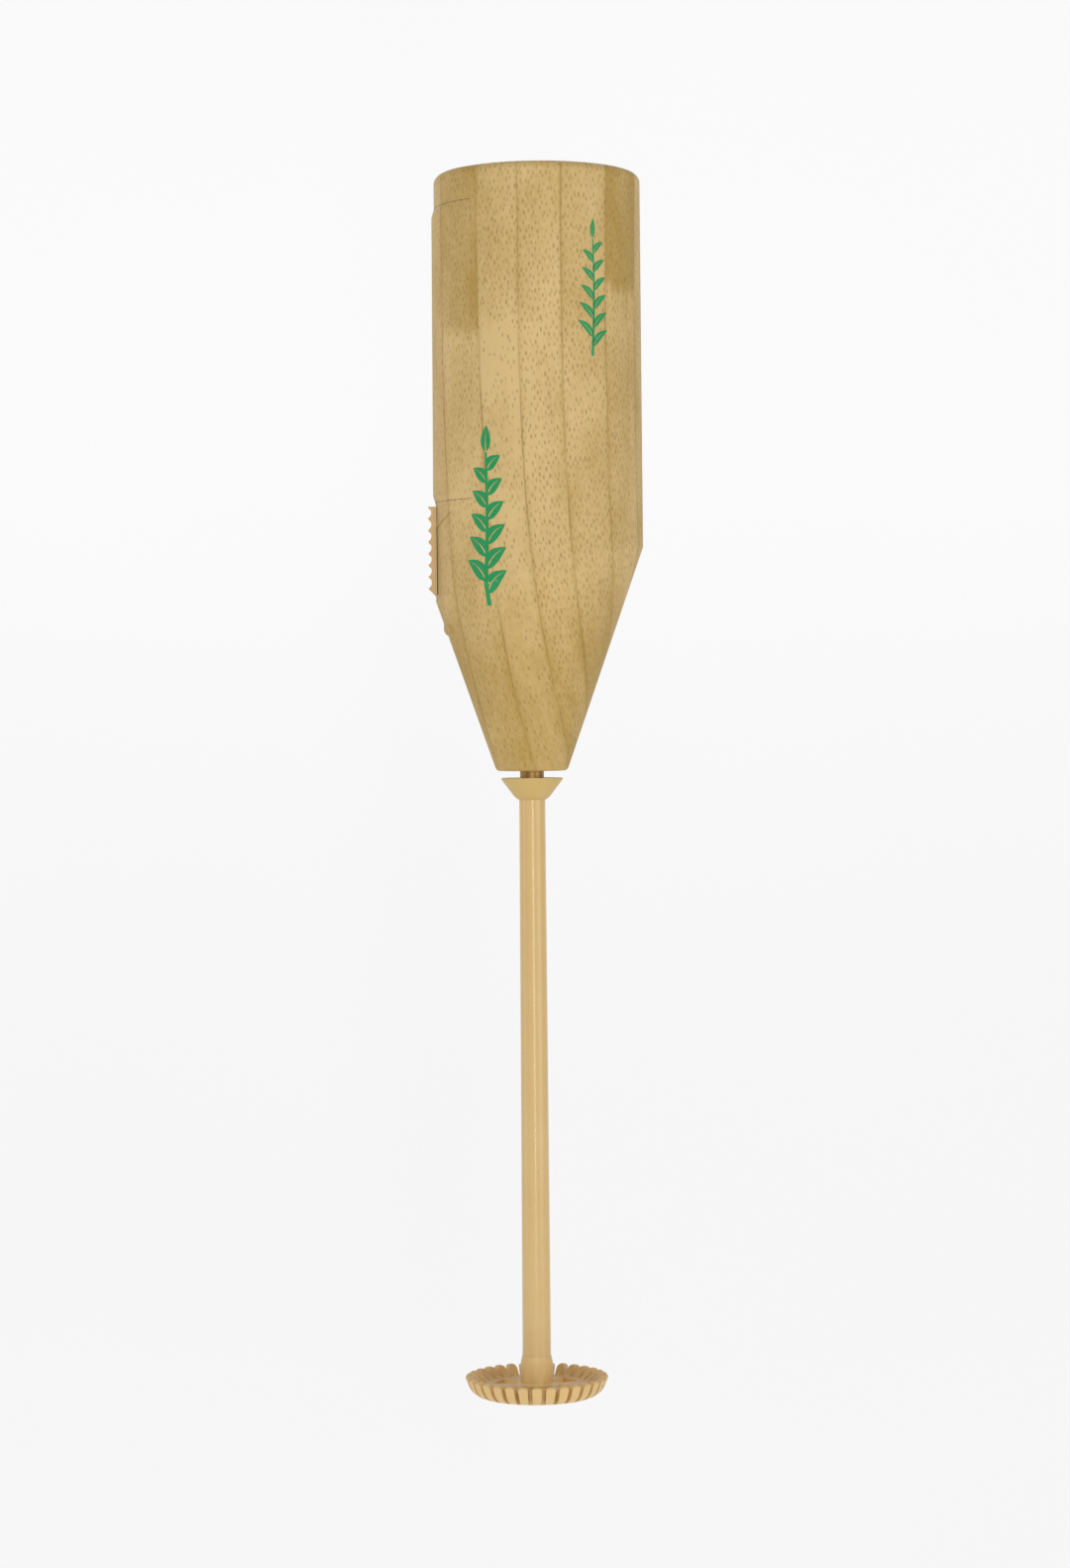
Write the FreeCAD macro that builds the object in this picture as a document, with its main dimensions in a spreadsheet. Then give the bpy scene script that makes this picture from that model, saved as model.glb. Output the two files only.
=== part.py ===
import FreeCAD, Part
import math
import os
import re
import Sketcher

# Hand-held battery tea whisk, as a parametric document in millimetres.
# +Z runs up along the axis that the whisk spins about, and the whisk hangs down.
# The origin is on that axis, half-way up the straight part of the grip.
# The grip's own axis stands case_offset to +X of the spin axis, so the shoulder
# between grip and nose is slanted: higher on +X, lower on the switch side, -X.

doc = FreeCAD.newDocument("HandheldTeaWhisk")
sheet = doc.addObject("Spreadsheet::Sheet", "Sizes")

SIZES = [
    # case
    ("case_radius", 19.05, "grip radius at the origin's height"),
    ("case_draft", 0.0022, "grip radius lost per mm of height"),
    ("case_offset", 1.72, "grip axis, to +X of the spin axis"),
    ("case_wall", 1.6, "wall of grip and nose"),
    ("top_z", 34.0, "grip's top face"),
    ("cap_seam_z", 32.2, "joint line between end cap and case"),
    ("cap_plate", 2.0, "end cap's plate"),
    ("cap_edge_round", 1.6, "rounding of the end cap's rim"),
    ("spigot_length", 3.5, "end cap's ring inside the case"),
    ("spigot_wall", 1.4, "end cap's ring, thickness"),
    ("slip_gap", 0.05, "gap round pieces that plug together"),
    ("nose_z", -75.5, "nose's bottom face"),
    ("nose_radius", 6.54, "nose radius at its bottom face"),
    ("nose_slope", 0.348, "nose radius gained per mm of height"),
    ("nose_floor", 3.2, "thickness of the nose's end wall"),
    ("nose_edge_round", 1.0, "rounding of the nose's bottom edge"),
    # battery door
    ("door_top_z", 27.8, "upper end of the battery opening"),
    ("door_bottom_z", -26.2, "lower end of the battery opening"),
    ("door_half_width", 14.75, "half the door's width"),
    ("door_gap", 0.08, "gap all round the door"),
    ("door_proud", 0.44, "door above the case at its middle; its long sides are flush"),
    ("door_thick", 2.0, "door's wall"),
    ("door_ramp", 1.4, "length over which the door's ends come down flush with the case"),
    # thumb pad and slide switch
    ("pad_radius", 19.04, "radius of the thumb pad"),
    ("pad_depth", 0.01, "thumb pad below the grip's radius at the origin's height"),
    ("pad_half_width", 10.4, "half the thumb pad's width"),
    ("pad_top_z", -31.1, "thumb pad's upper edge at its middle"),
    ("pad_arch_radius", 20.0, "radius of the thumb pad's upper edge"),
    ("pad_bottom_z", -43.0, "thumb pad's lower edge"),
    ("lip_top_z", -47.4, "thumb stop's upper end"),
    ("lip_bottom_z", -50.6, "thumb stop's lower end"),
    ("lip_reach", 16.05, "thumb stop's face from the spin axis"),
    ("lip_angle", 44.0, "thumb stop's sweep round the nose"),
    ("button_top_z", -26.88, "switch button's upper end"),
    ("button_foot_z", -43.2, "switch button's lower end"),
    ("button_last_rib_z", -41.86, "tip of the switch button's last rib"),
    ("button_tip_x", -18.72, "tips of the ribs"),
    ("button_back_x", -17.46, "switch button's underside"),
    ("button_width", 7.2, "switch button's width"),
    ("rib_pitch", 2.14, "rib spacing"),
    ("rib_depth", 0.62, "depth of the hollows between ribs"),
    ("stem_top_z", -32.2, "switch stem's upper face"),
    ("stem_height", 6.0, "switch stem's height"),
    ("stem_width", 2.8, "switch stem's width"),
    ("stem_end_x", -14.6, "switch stem's inner end"),
    ("switch_travel", 3.0, "how far the switch slides"),
    ("slot_gap", 0.25, "gap round the switch stem"),
    ("carrier_end_x", -12.5, "contact carrier's inner face"),
    ("carrier_width", 8.0, "contact carrier's width"),
    ("strip_thick", 0.4, "thickness of contact strips"),
    ("wiped_x", -12.0, "faces of the fixed strips, where the switch wipes"),
    ("wiped_bottom_z", -42.2, "lower ends of those faces"),
    ("negative_leg_x", -11.2, "negative strip's upright leg"),
    ("negative_wiped_z", -37.0, "upper end of the negative strip's wiped face"),
    ("switch_leg_x", -10.4, "where the switch strip turns down to its wiped face"),
    # battery tray and cells
    ("tray_radius", 17.15, "battery tray's outer radius"),
    ("tray_wall", 1.25, "battery tray's back wall"),
    ("tray_floor_z", -27.1, "upper face of the tray's floor"),
    ("tray_roof_z", 27.3, "lower face of the tray's roof"),
    ("tray_plate", 1.2, "thickness of the tray's floor and roof"),
    ("cell_radius", 7.25, "AA cell radius"),
    ("cell_length", 50.5, "AA cell length with its nub"),
    ("cell_nub_radius", 2.75, "AA cell's nub radius"),
    ("cell_nub_height", 1.2, "AA cell's nub height"),
    ("cell_side_y", 7.45, "cell axis to the side of the middle"),
    ("cell_x", 2.5, "cell axes along X"),
    ("spring_wire", 0.7, "wire of the cell springs"),
    ("spring_height", 3.0, "fitted height of the cell springs"),
    ("spring_base_radius", 4.6, "wide end of the cell springs"),
    ("spring_tip_radius", 2.6, "narrow end of the cell springs"),
    ("spring_half_turns", 6, "half turns in each cell spring"),
    # motor
    ("motor_bottom_z", -57.5, "motor can's drive face"),
    ("motor_can_height", 20.5, "motor can's height"),
    ("motor_bell_height", 4.5, "motor end bell's height"),
    ("motor_radius", 10.05, "motor's round sides"),
    ("motor_flat_x", 7.55, "motor's flats from its axis"),
    ("motor_wall", 0.8, "motor can's sheet"),
    ("boss_radius", 3.6, "motor's bearing boss"),
    ("boss_height", 1.6, "bearing boss below the can"),
    ("bush_radius", 3.0, "motor bushings' outer radius"),
    ("shaft_radius", 1.0, "motor shaft radius"),
    ("shaft_gap", 0.03, "running gap round the motor shaft"),
    ("shaft_top_z", -33.0, "motor shaft's upper end"),
    ("shaft_bottom_z", -70.5, "motor shaft's lower end"),
    ("magnet_inner_radius", 6.6, "magnets' inner radius"),
    ("magnet_half_width", 6.2, "half the magnets' width"),
    ("core_radius", 6.2, "armature radius"),
    ("core_bottom_z", -52.5, "armature's lower face"),
    ("core_height", 10.0, "armature stack height"),
    ("coil_pocket_radius", 1.9, "winding pockets' radius"),
    ("coil_pocket_reach", 3.9, "winding pockets' distance from the axis"),
    ("commutator_radius", 2.2, "commutator radius"),
    ("cup_bottom_z", -59.0, "motor cup's underside"),
    ("cup_top_z", -50.0, "motor cup's rim"),
    ("cup_gap", 0.25, "gap round the motor cup and beside the motor"),
    ("post_width", 5.0, "posts between tray and cup, width"),
    ("post_thick", 1.8, "posts between tray and cup, thickness"),
    ("terminal_y", 6.5, "motor terminals to the side of the axis"),
    ("terminal_thick", 0.5, "motor terminals' sheet"),
    # spindle, wand and whisk
    ("spindle_radius", 2.2, "spindle radius at the neck"),
    ("spindle_gap", 0.05, "running gap in the nose bushing"),
    ("spindle_top_z", -62.0, "spindle's upper end"),
    ("spindle_step_z", -79.3, "where the spindle thins to its core"),
    ("core_rod_radius", 1.3, "steel core inside the wand"),
    ("nose_bush_radius", 3.6, "nose bushing's outer radius"),
    ("nose_flange_radius", 4.5, "nose bushing's flange"),
    ("collar_top_z", -76.8, "collar's rim"),
    ("collar_rim_radius", 5.65, "collar's rim radius"),
    ("collar_neck_radius", 3.25, "collar's radius above its foot"),
    ("collar_foot_height", 0.5, "height of the collar's steep foot"),
    ("collar_bottom_z", -80.8, "collar's lower end"),
    ("tube_top_radius", 2.41, "wand tube radius at the collar"),
    ("tube_low_radius", 2.645, "wand tube radius at the whisk"),
    ("socket_radius", 2.45, "spigot of the tube in the whisk's hub"),
    ("hub_top_z", -183.7, "whisk hub's upper end"),
    ("hub_flare_z", -184.8, "where the hub's flare ends"),
    ("hub_radius", 2.95, "whisk hub's radius"),
    ("socket_end_z", -187.2, "end of the hub's socket"),
    ("whisk_bottom_z", -191.1, "whisk's underside"),
    ("whisk_tip_z", -187.4, "tips of the whisk's teeth"),
    ("whisk_tip_radius", 13.35, "outer radius at the tips"),
    ("whisk_foot_radius", 11.9, "outer wall carried down to the underside"),
    ("whisk_corner_round", 3.3, "rounding between underside and wall"),
    ("whisk_wall", 1.15, "thickness of the teeth at the tips"),
    ("whisk_floor_z", -189.1, "upper face of the whisk's floor"),
    ("whisk_floor_radius", 10.2, "radius of the whisk's floor"),
    ("tooth_count", 32, "number of teeth"),
    ("tooth_gap", 0.8, "gap between teeth"),
    ("tooth_round", 0.7, "rounding of each tooth's top corners"),
    ("tooth_edge_round", 0.36, "rounding of the teeth's inner and outer edges"),
    ("tooth_root_radius", 9.9, "where the gaps between teeth end"),
    ("window_inner_radius", 4.2, "inner edge of the floor's windows"),
    ("window_outer_radius", 8.0, "outer edge of the floor's windows"),
    ("window_angle", 32.0, "sweep of each window in the floor"),
    ("window_count", 6, "number of windows in the floor"),
]

for row, (alias, value, note) in enumerate(SIZES, start=1):
    sheet.set(f"A{row}", note)
    sheet.set(f"B{row}", str(value))
    sheet.setAlias(f"B{row}", alias)
doc.recompute()


# ---------------------------------------------------------------- helpers

def formula(text):
    """Prefix every size name in a formula, so that it reads the sheet."""
    return re.sub(r"\b([a-z]+_\w+)\b", r"Sizes.\1", str(text))


def size(name):
    """A size's value, for places where only a number will do."""
    return float(sheet.get(name))


def bind(thing, **formulas):
    """Bind properties of a document object to formulas on the sheet."""
    for name, text in formulas.items():
        thing.setExpression(name, formula(text))
    return thing


def place(thing, x="0", y="0", z="0"):
    """Bind where a document object stands."""
    for letter, text in zip("xyz", (x, y, z)):
        thing.setExpression(f"Placement.Base.{letter}", formula(text))
    return thing


def box(name, x, y, z):
    """A block; each of x, y and z is a pair of formulas: its low and high side."""
    block = doc.addObject("Part::Box", name)
    place(block, x[0], y[0], z[0])
    bind(block, Length=f"({x[1]}) - ({x[0]})")
    bind(block, Width=f"({y[1]}) - ({y[0]})")
    bind(block, Height=f"({z[1]}) - ({z[0]})")
    return block


def rod(name, radius, low, high, x="0", y="0"):
    """An upright cylinder from height low to height high."""
    cylinder = doc.addObject("Part::Cylinder", name)
    place(cylinder, x, y, low)
    return bind(cylinder, Radius=radius, Height=f"({high}) - ({low})")


def taper(name, low_radius, high_radius, low, high, x="0"):
    """An upright truncated cone from height low to height high."""
    cone = doc.addObject("Part::Cone", name)
    place(cone, x, "0", low)
    return bind(cone, Radius1=low_radius, Radius2=high_radius, Height=f"({high}) - ({low})")


def cut(name, base, *tools):
    """base without each of the tools."""
    for number, tool in enumerate(tools, start=1):
        result = doc.addObject("Part::Cut", name if number == len(tools) else f"{name}_step{number}")
        result.Base = base
        result.Tool = tool
        base = result
    return base


def fuse(name, *shapes):
    """One piece from shapes that meet."""
    joined = doc.addObject("Part::MultiFuse", name)
    joined.Shapes = list(shapes)
    joined.Refine = True
    return joined


def common(name, *shapes):
    """What the shapes share."""
    shared = doc.addObject("Part::MultiCommon", name)
    shared.Shapes = list(shapes)
    return shared


def new_body(name):
    body = doc.addObject("PartDesign::Body", name)
    body.Label = name
    return body


def origin_feature(body, role):
    return [feature for feature in body.Origin.OriginFeatures if feature.Role == role][0]


def new_sketch(body, role, name):
    """A sketch on one of the body's own origin planes."""
    sketch = body.newObject("Sketcher::SketchObject", name)
    sketch.AttachmentSupport = [(origin_feature(body, role), "")]
    sketch.MapMode = "FlatFace"
    return sketch


def hold_point(sketch, geometry, end, x, y, start=(1.0, 1.0)):
    """Hold one point of a sketch curve at a place given by two formulas."""
    for kind, text, first in (("DistanceX", x, start[0]), ("DistanceY", y, start[1])):
        index = sketch.addConstraint(Sketcher.Constraint(kind, -1, 1, geometry, end, first))
        sketch.setExpression(f"Constraints[{index}]", formula(text))


def outline(sketch, corners):
    """A closed outline of straight lines; each corner is a pair of formulas."""
    count = len(corners)
    ring = [FreeCAD.Vector(math.cos(2 * math.pi * i / count), math.sin(2 * math.pi * i / count), 0)
            for i in range(count)]
    for i in range(count):
        sketch.addGeometry(Part.LineSegment(ring[i], ring[(i + 1) % count]))
    for i in range(count):
        sketch.addConstraint(Sketcher.Constraint("Coincident", i, 2, (i + 1) % count, 1))
    for i, (x, y) in enumerate(corners):
        hold_point(sketch, i, 1, x, y)
    return sketch


def turned(name, corners):
    """A body turned about its own Z axis; corners are (radius, height) formulas."""
    body = new_body(name)
    sketch = outline(new_sketch(body, "XZ_Plane", f"{name}_profile"), corners)
    revolution = body.newObject("PartDesign::Revolution", f"{name}_turning")
    revolution.Profile = sketch
    revolution.ReferenceAxis = (sketch, ["V_Axis"])
    revolution.Angle = 360.0
    body.Tip = revolution
    doc.recompute()
    return body


def ring_edges(shape, radius, height):
    """Names of the round edges with this radius at this height."""
    names = []
    for number, edge in enumerate(shape.Edges, start=1):
        curve = edge.Curve
        if not isinstance(curve, Part.Circle):
            continue
        if abs(curve.Radius - radius) < 0.02 and abs(edge.CenterOfMass.z - height) < 0.02:
            names.append(f"Edge{number}")
    return names


def round_ring(body, name, radius, height, rounding):
    """Round a ring edge of a turned body."""
    base = body.Tip
    fillet = body.newObject("PartDesign::Fillet", name)
    fillet.Base = (base, ring_edges(base.Shape, radius, height))
    bind(fillet, Radius=rounding)
    body.Tip = fillet
    doc.recompute()
    return fillet


def polar(body, name, feature, count):
    """Repeat a feature round the body's Z axis."""
    pattern = body.newObject("PartDesign::PolarPattern", name)
    pattern.Originals = [feature]
    pattern.Axis = (origin_feature(body, "Z_Axis"), [""])
    pattern.Angle = 360.0
    bind(pattern, Occurrences=count)
    body.Tip = pattern
    doc.recompute()
    return pattern


def around(name, tool, angle):
    """A copy of a tool, turned about the spin axis."""
    copy = doc.addObject("Part::Compound", name)
    copy.Links = [tool]
    turn = FreeCAD.Rotation(FreeCAD.Vector(0, 0, 1), angle)
    copy.Placement = FreeCAD.Placement(FreeCAD.Vector(), turn)
    return copy


NODES = []


def node(thing, name):
    """Name a finished sub-part; its label names its file."""
    thing.Label = name
    NODES.append(thing)
    return thing


# ---------------------------------------------------------------- case

BARREL_AT = "case_radius - case_draft * ({})"
NOSE_AT = "nose_radius + nose_slope * (({}) - nose_z)"
CONE_WALL = "case_wall * 1.059"


def make_case_shell():
    """Grip and nose in one moulding, open at the top and at the battery opening."""
    barrel = taper("case_barrel", BARREL_AT.format("nose_z"), BARREL_AT.format("cap_seam_z"),
                   "nose_z", "cap_seam_z", "case_offset")
    nose = taper("case_nose", "nose_radius", NOSE_AT.format("cap_seam_z"), "nose_z", "cap_seam_z")
    outside = common("case_outside", barrel, nose)
    doc.recompute()
    edges = ring_edges(outside.Shape, size("nose_radius"), size("nose_z"))
    rounded = doc.addObject("Part::Fillet", "case_rounded")
    rounded.Base = outside
    edge_round = size("nose_edge_round")
    rounded.Edges = [(int(edge[4:]), edge_round, edge_round) for edge in edges]

    floor = "nose_z + nose_floor"
    room = taper("case_room_barrel", f"{BARREL_AT.format(floor)} - case_wall",
                 f"{BARREL_AT.format('cap_seam_z')} - case_wall", floor, "cap_seam_z", "case_offset")
    nose_room = taper("case_room_nose", f"{NOSE_AT.format(floor)} - {CONE_WALL}",
                      f"{NOSE_AT.format('cap_seam_z')} - {CONE_WALL}", floor, "cap_seam_z")
    hollow = common("case_hollow", room, nose_room)

    opening = box("battery_opening", ("case_offset - case_radius - 3", "case_offset - 4"),
                  ("-door_half_width - door_gap", "door_half_width + door_gap"),
                  ("door_bottom_z", "door_top_z"))
    bush_hole = rod("nose_hole", "nose_bush_radius", "nose_z - 1", "nose_z + nose_floor + 1")
    slot = box("switch_slot", ("button_back_x - 1", "stem_end_x"),
               ("-stem_width / 2 - slot_gap", "stem_width / 2 + slot_gap"),
               ("stem_top_z - stem_height - switch_travel - slot_gap", "stem_top_z + slot_gap"))
    shell = cut("case_hollowed", rounded, make_thumb_pad(), hollow)
    stopped = fuse("case_with_stop", shell, make_thumb_stop())
    return node(cut("case_shell", stopped, opening, bush_hole, slot), "case_shell")


def make_thumb_pad():
    """What the shallow thumb pad takes off the grip, under an upper edge that sags."""
    reach = ("case_offset - case_radius - 1", "case_offset - 8")
    sides = ("-pad_half_width", "pad_half_width")
    block = box("pad_block", reach, sides, ("pad_bottom_z", "pad_top_z + pad_half_width / 3"))
    arch = doc.addObject("Part::Cylinder", "pad_arch")
    arch.Placement = FreeCAD.Placement(FreeCAD.Vector(), FreeCAD.Rotation(FreeCAD.Vector(0, 1, 0), 90))
    place(arch, "case_offset - case_radius - 2", "0", "pad_top_z + pad_arch_radius")
    bind(arch, Radius="pad_arch_radius", Height="case_radius")
    surface = rod("pad_surface", "pad_radius", "pad_bottom_z - 1", "pad_top_z + 5",
                  "case_offset - case_radius + pad_depth + pad_radius")
    return cut("thumb_pad", block, arch, surface)


def make_thumb_stop():
    """Low lip across the nose under the switch, swept round the spin axis."""
    body = new_body("thumb_stop")
    sketch = new_sketch(body, "XZ_Plane", "thumb_stop_profile")
    inside = "{} - case_wall * 0.8"
    outline(sketch, [
        ("-(" + inside.format(NOSE_AT.format("lip_top_z")) + ")", "lip_top_z"),
        ("-lip_reach", "lip_top_z"),
        ("-lip_reach + 0.02", "lip_bottom_z + 1.1"),
        ("-lip_reach + 0.32", "lip_bottom_z + 0.45"),
        ("-(" + NOSE_AT.format("lip_bottom_z") + " - 0.05)", "lip_bottom_z"),
        ("-(" + inside.format(NOSE_AT.format("lip_bottom_z")) + ")", "lip_bottom_z"),
    ])
    sweep = body.newObject("PartDesign::Revolution", "thumb_stop_sweep")
    sweep.Profile = sketch
    sweep.ReferenceAxis = (sketch, ["V_Axis"])
    sweep.Midplane = True
    bind(sweep, Angle="lip_angle")
    body.Tip = sweep
    return body


def make_end_cap():
    """Cap that closes the top of the grip, with a ring that plugs into it."""
    ring = "case_radius - case_wall - slip_gap - case_draft * cap_seam_z"
    body = turned("end_cap", [
        ("0", "top_z - cap_plate"),
        ("0", "top_z"),
        (BARREL_AT.format("top_z"), "top_z"),
        (BARREL_AT.format("cap_seam_z"), "cap_seam_z"),
        (ring, "cap_seam_z"),
        (ring, "cap_seam_z - spigot_length"),
        (f"{ring} - spigot_wall", "cap_seam_z - spigot_length"),
        (f"{ring} - spigot_wall", "top_z - cap_plate"),
    ])
    top_radius = size("case_radius") - size("case_draft") * size("top_z")
    round_ring(body, "end_cap_rim", top_radius, size("top_z"), "cap_edge_round")
    place(body, "case_offset")
    return node(body, "end_cap")


DOOR_SHIFT = ("((case_radius + door_proud) ^ 2 - case_radius ^ 2) / 2"
              " / (case_radius + door_proud - sqrt(case_radius ^ 2 - door_half_width ^ 2))")


def door_section(name, radius, height, axis_x):
    """One of the circles that the door's outer skin passes through."""
    circle = doc.addObject("Part::Circle", name)
    bind(circle, Radius=radius)
    place(circle, axis_x, "0", height)
    return circle


def make_battery_door():
    """Curved panel that fills the battery opening: flush all round its edge, proud in the middle."""
    low = "door_bottom_z + door_gap"
    high = "door_top_z - door_gap"
    proud_low = f"{low} + door_ramp"
    proud_high = f"{high} - door_ramp"
    proud = f"{BARREL_AT} + door_proud - {DOOR_SHIFT}"
    proud_x = f"case_offset - {DOOR_SHIFT}"
    outer = doc.addObject("Part::Loft", "door_outer")
    outer.Sections = [
        door_section("door_low_end", BARREL_AT.format(low), low, "case_offset"),
        door_section("door_proud_low", proud.format(proud_low), proud_low, proud_x),
        door_section("door_proud_high", proud.format(proud_high), proud_high, proud_x),
        door_section("door_high_end", BARREL_AT.format(high), high, "case_offset"),
    ]
    outer.Solid = True
    outer.Ruled = True
    inner = rod("door_inner", "case_radius + door_proud - door_thick", "door_bottom_z - 1",
                "door_top_z + 1", "case_offset")
    width = box("door_width", ("case_offset - case_radius - 3", "case_offset - 5"),
                ("-door_half_width", "door_half_width"), (low, high))
    return node(common("battery_door", cut("door_skin", outer, inner), width), "battery_door")


def make_nose_bushing():
    """Flanged bushing that guides the spindle in the nose."""
    flange_z = "nose_z + nose_floor"
    barrel = rod("nose_bush_barrel", "nose_bush_radius", "nose_z + 0.2", flange_z)
    flange = rod("nose_bush_flange", "nose_flange_radius", flange_z, f"{flange_z} + 0.8")
    bore = rod("nose_bush_bore", "spindle_radius + spindle_gap", "nose_z - 1", f"{flange_z} + 2")
    return node(cut("nose_bushing", fuse("nose_bush_blank", barrel, flange), bore), "nose_bushing")


# ---------------------------------------------------------------- chassis and cells

def make_inner_chassis():
    """Battery tray and motor cup in one moulding, joined by two posts."""
    floor = rod("tray_floor", "tray_radius", "tray_floor_z - tray_plate", "tray_floor_z", "case_offset")
    roof = rod("tray_roof", "tray_radius", "tray_roof_z", "tray_roof_z + tray_plate", "case_offset")
    tray_height = ("tray_floor_z - tray_plate", "tray_roof_z + tray_plate")
    ring = cut("tray_ring", rod("tray_ring_outer", "tray_radius", *tray_height, "case_offset"),
               rod("tray_ring_inner", "tray_radius - tray_wall", *tray_height, "case_offset"))
    back = common("tray_back", ring, box("tray_back_side", ("case_offset + 3", "case_offset + 20"),
                                         ("-20", "20"), tray_height))
    rib = box("tray_rib", ("9.5", "case_offset + tray_radius - 0.5"), ("-0.8", "0.8"),
              ("tray_floor_z", "tray_roof_z"))
    wall_in = f"{NOSE_AT} - {CONE_WALL} - cup_gap"
    cup = taper("motor_cup_blank", wall_in.format("cup_bottom_z"), wall_in.format("cup_top_z"),
                "cup_bottom_z", "cup_top_z")
    cup_room = rod("motor_cup_room", "motor_radius + slip_gap", "motor_bottom_z", "cup_top_z + 1")
    boss_room = rod("motor_cup_hole", "boss_radius + 0.2", "cup_bottom_z - 1", "motor_bottom_z + 1")
    hollow_cup = cut("motor_cup", cup, cup_room, boss_room)
    near = "motor_radius + cup_gap"
    far = "motor_radius + cup_gap + post_thick"
    posts = [box(f"chassis_post_{side}", ("-post_width / 2", "post_width / 2"), sides,
                 ("cup_top_z - 0.5", "tray_floor_z - 0.5"))
             for side, sides in (("left", (near, far)), ("right", (f"-({far})", f"-({near})")))]
    frame = fuse("chassis_blank", floor, roof, back, rib, hollow_cup, *posts)
    slot_height = ("tray_floor_z - 3", "tray_floor_z + 1")
    negative_slot = box("negative_tail_slot",
                        ("negative_leg_x - 0.2", "negative_leg_x + strip_thick + 0.2"),
                        ("1.8", "5.2"), slot_height)
    positive_slot = box("positive_tail_slot", ("-1.4", "1.4"),
                        ("-terminal_y - 0.85", "-terminal_y + 0.05"), slot_height)
    return node(cut("inner_chassis", frame, negative_slot, positive_slot), "inner_chassis")


def make_cell(name, side, nub_up):
    """AA cell, with its nub up or down."""
    body = turned(name, [
        ("0", "0.2"),
        ("cell_radius - 1.6", "0.2"),
        ("cell_radius - 1.6", "0"),
        ("cell_radius - 0.3", "0"),
        ("cell_radius", "0.3"),
        ("cell_radius", "cell_length - cell_nub_height - 0.4"),
        ("cell_radius - 0.4", "cell_length - cell_nub_height"),
        ("cell_nub_radius", "cell_length - cell_nub_height"),
        ("cell_nub_radius", "cell_length"),
        ("0", "cell_length"),
    ])
    if nub_up:
        place(body, "cell_x", f"{side} * cell_side_y", "tray_floor_z + strip_thick + spring_height")
    else:
        flip = FreeCAD.Rotation(FreeCAD.Vector(1, 0, 0), 180)
        body.Placement = FreeCAD.Placement(FreeCAD.Vector(), flip)
        place(body, "cell_x", f"{side} * cell_side_y", "tray_floor_z + strip_thick + cell_length")
    return node(body, name)


def make_spring(name, side, wide_end_up, start):
    """Cell spring that narrows away from its contact plate, in tilted half turns of round wire."""
    wire = size("spring_wire")
    turns = int(size("spring_half_turns"))
    rise = (size("spring_height") - wire) / turns
    shrink = (size("spring_base_radius") - size("spring_tip_radius")) / (turns - 1)
    end_x = size("spring_base_radius")
    pieces = []
    for i in range(turns):
        radius = size("spring_base_radius") - i * shrink
        tilt = math.asin(rise / (2 * radius))
        way = 1 if i % 2 == 0 else -1
        piece = doc.addObject("Part::Torus", f"{name}_turn{i + 1}")
        piece.Radius1 = radius
        piece.Angle3 = 180.0
        bind(piece, Radius2="spring_wire / 2")
        half_span = radius * math.cos(tilt)
        centre = FreeCAD.Vector(end_x - way * half_span, 0, wire / 2 + (i + 0.5) * rise)
        lean = FreeCAD.Rotation(FreeCAD.Vector(0, 1, 0), math.degrees(way * tilt))
        facing = FreeCAD.Rotation(FreeCAD.Vector(0, 0, 1), 0 if way == 1 else 180)
        piece.Placement = FreeCAD.Placement(centre, lean.multiply(facing))
        end_x -= 2 * way * half_span
        pieces.append(piece)
    spring = fuse(name, *pieces)
    flip = FreeCAD.Rotation(FreeCAD.Vector(1, 0, 0), 180 if wide_end_up else 0)
    spring.Placement = FreeCAD.Placement(FreeCAD.Vector(), flip)
    place(spring, "cell_x", f"{side} * cell_side_y", start)
    return node(spring, name)


def make_bridge_contact():
    """Strip under the tray's roof that joins the two cells."""
    plate = box("bridge_plate", ("cell_x - 4", "cell_x + 4"), ("-cell_side_y - 5", "cell_side_y + 5"),
                ("tray_roof_z - strip_thick", "tray_roof_z"))
    nub_top = "tray_floor_z + strip_thick + spring_height + cell_length"
    dimple = rod("bridge_dimple", "2.2", nub_top, "tray_roof_z", "cell_x", "cell_side_y")
    return node(fuse("bridge_contact", plate, dimple), "bridge_contact")


def make_negative_contact():
    """Plate under the first cell's spring, its tail running down to the switch."""
    level = ("tray_floor_z", "tray_floor_z + strip_thick")
    tail = ("2", "5")
    leg_x = ("negative_leg_x", "negative_leg_x + strip_thick")
    plate = box("negative_plate", ("cell_x - 5", "cell_x + 5"),
                ("cell_side_y - 5", "cell_side_y + 5"), level)
    arm = box("negative_arm", ("negative_leg_x", "cell_x - 4.5"), tail, level)
    leg = box("negative_leg", leg_x, tail, ("negative_wiped_z", "tray_floor_z + 0.1"))
    step = box("negative_step", ("wiped_x", leg_x[1]), tail,
               ("negative_wiped_z - strip_thick", "negative_wiped_z"))
    face = box("negative_face", ("wiped_x", "wiped_x + strip_thick"), tail,
               ("wiped_bottom_z", "negative_wiped_z"))
    return node(fuse("negative_contact", plate, arm, leg, step, face), "negative_contact")


def make_positive_contact():
    """Plate under the second cell's nub, its tail lying on a motor terminal."""
    plate = box("positive_plate", ("cell_x - 5", "cell_x + 5"),
                ("-cell_side_y - 4", "-cell_side_y + 4"),
                ("tray_floor_z", "tray_floor_z + strip_thick"))
    tail = box("positive_tail", ("-1.2", "1.2"),
               ("-terminal_y - terminal_thick / 2 - strip_thick", "-terminal_y - terminal_thick / 2"),
               ("tray_floor_z - 4", "tray_floor_z + 0.1"))
    return node(fuse("positive_contact", plate, tail), "positive_contact")


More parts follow.
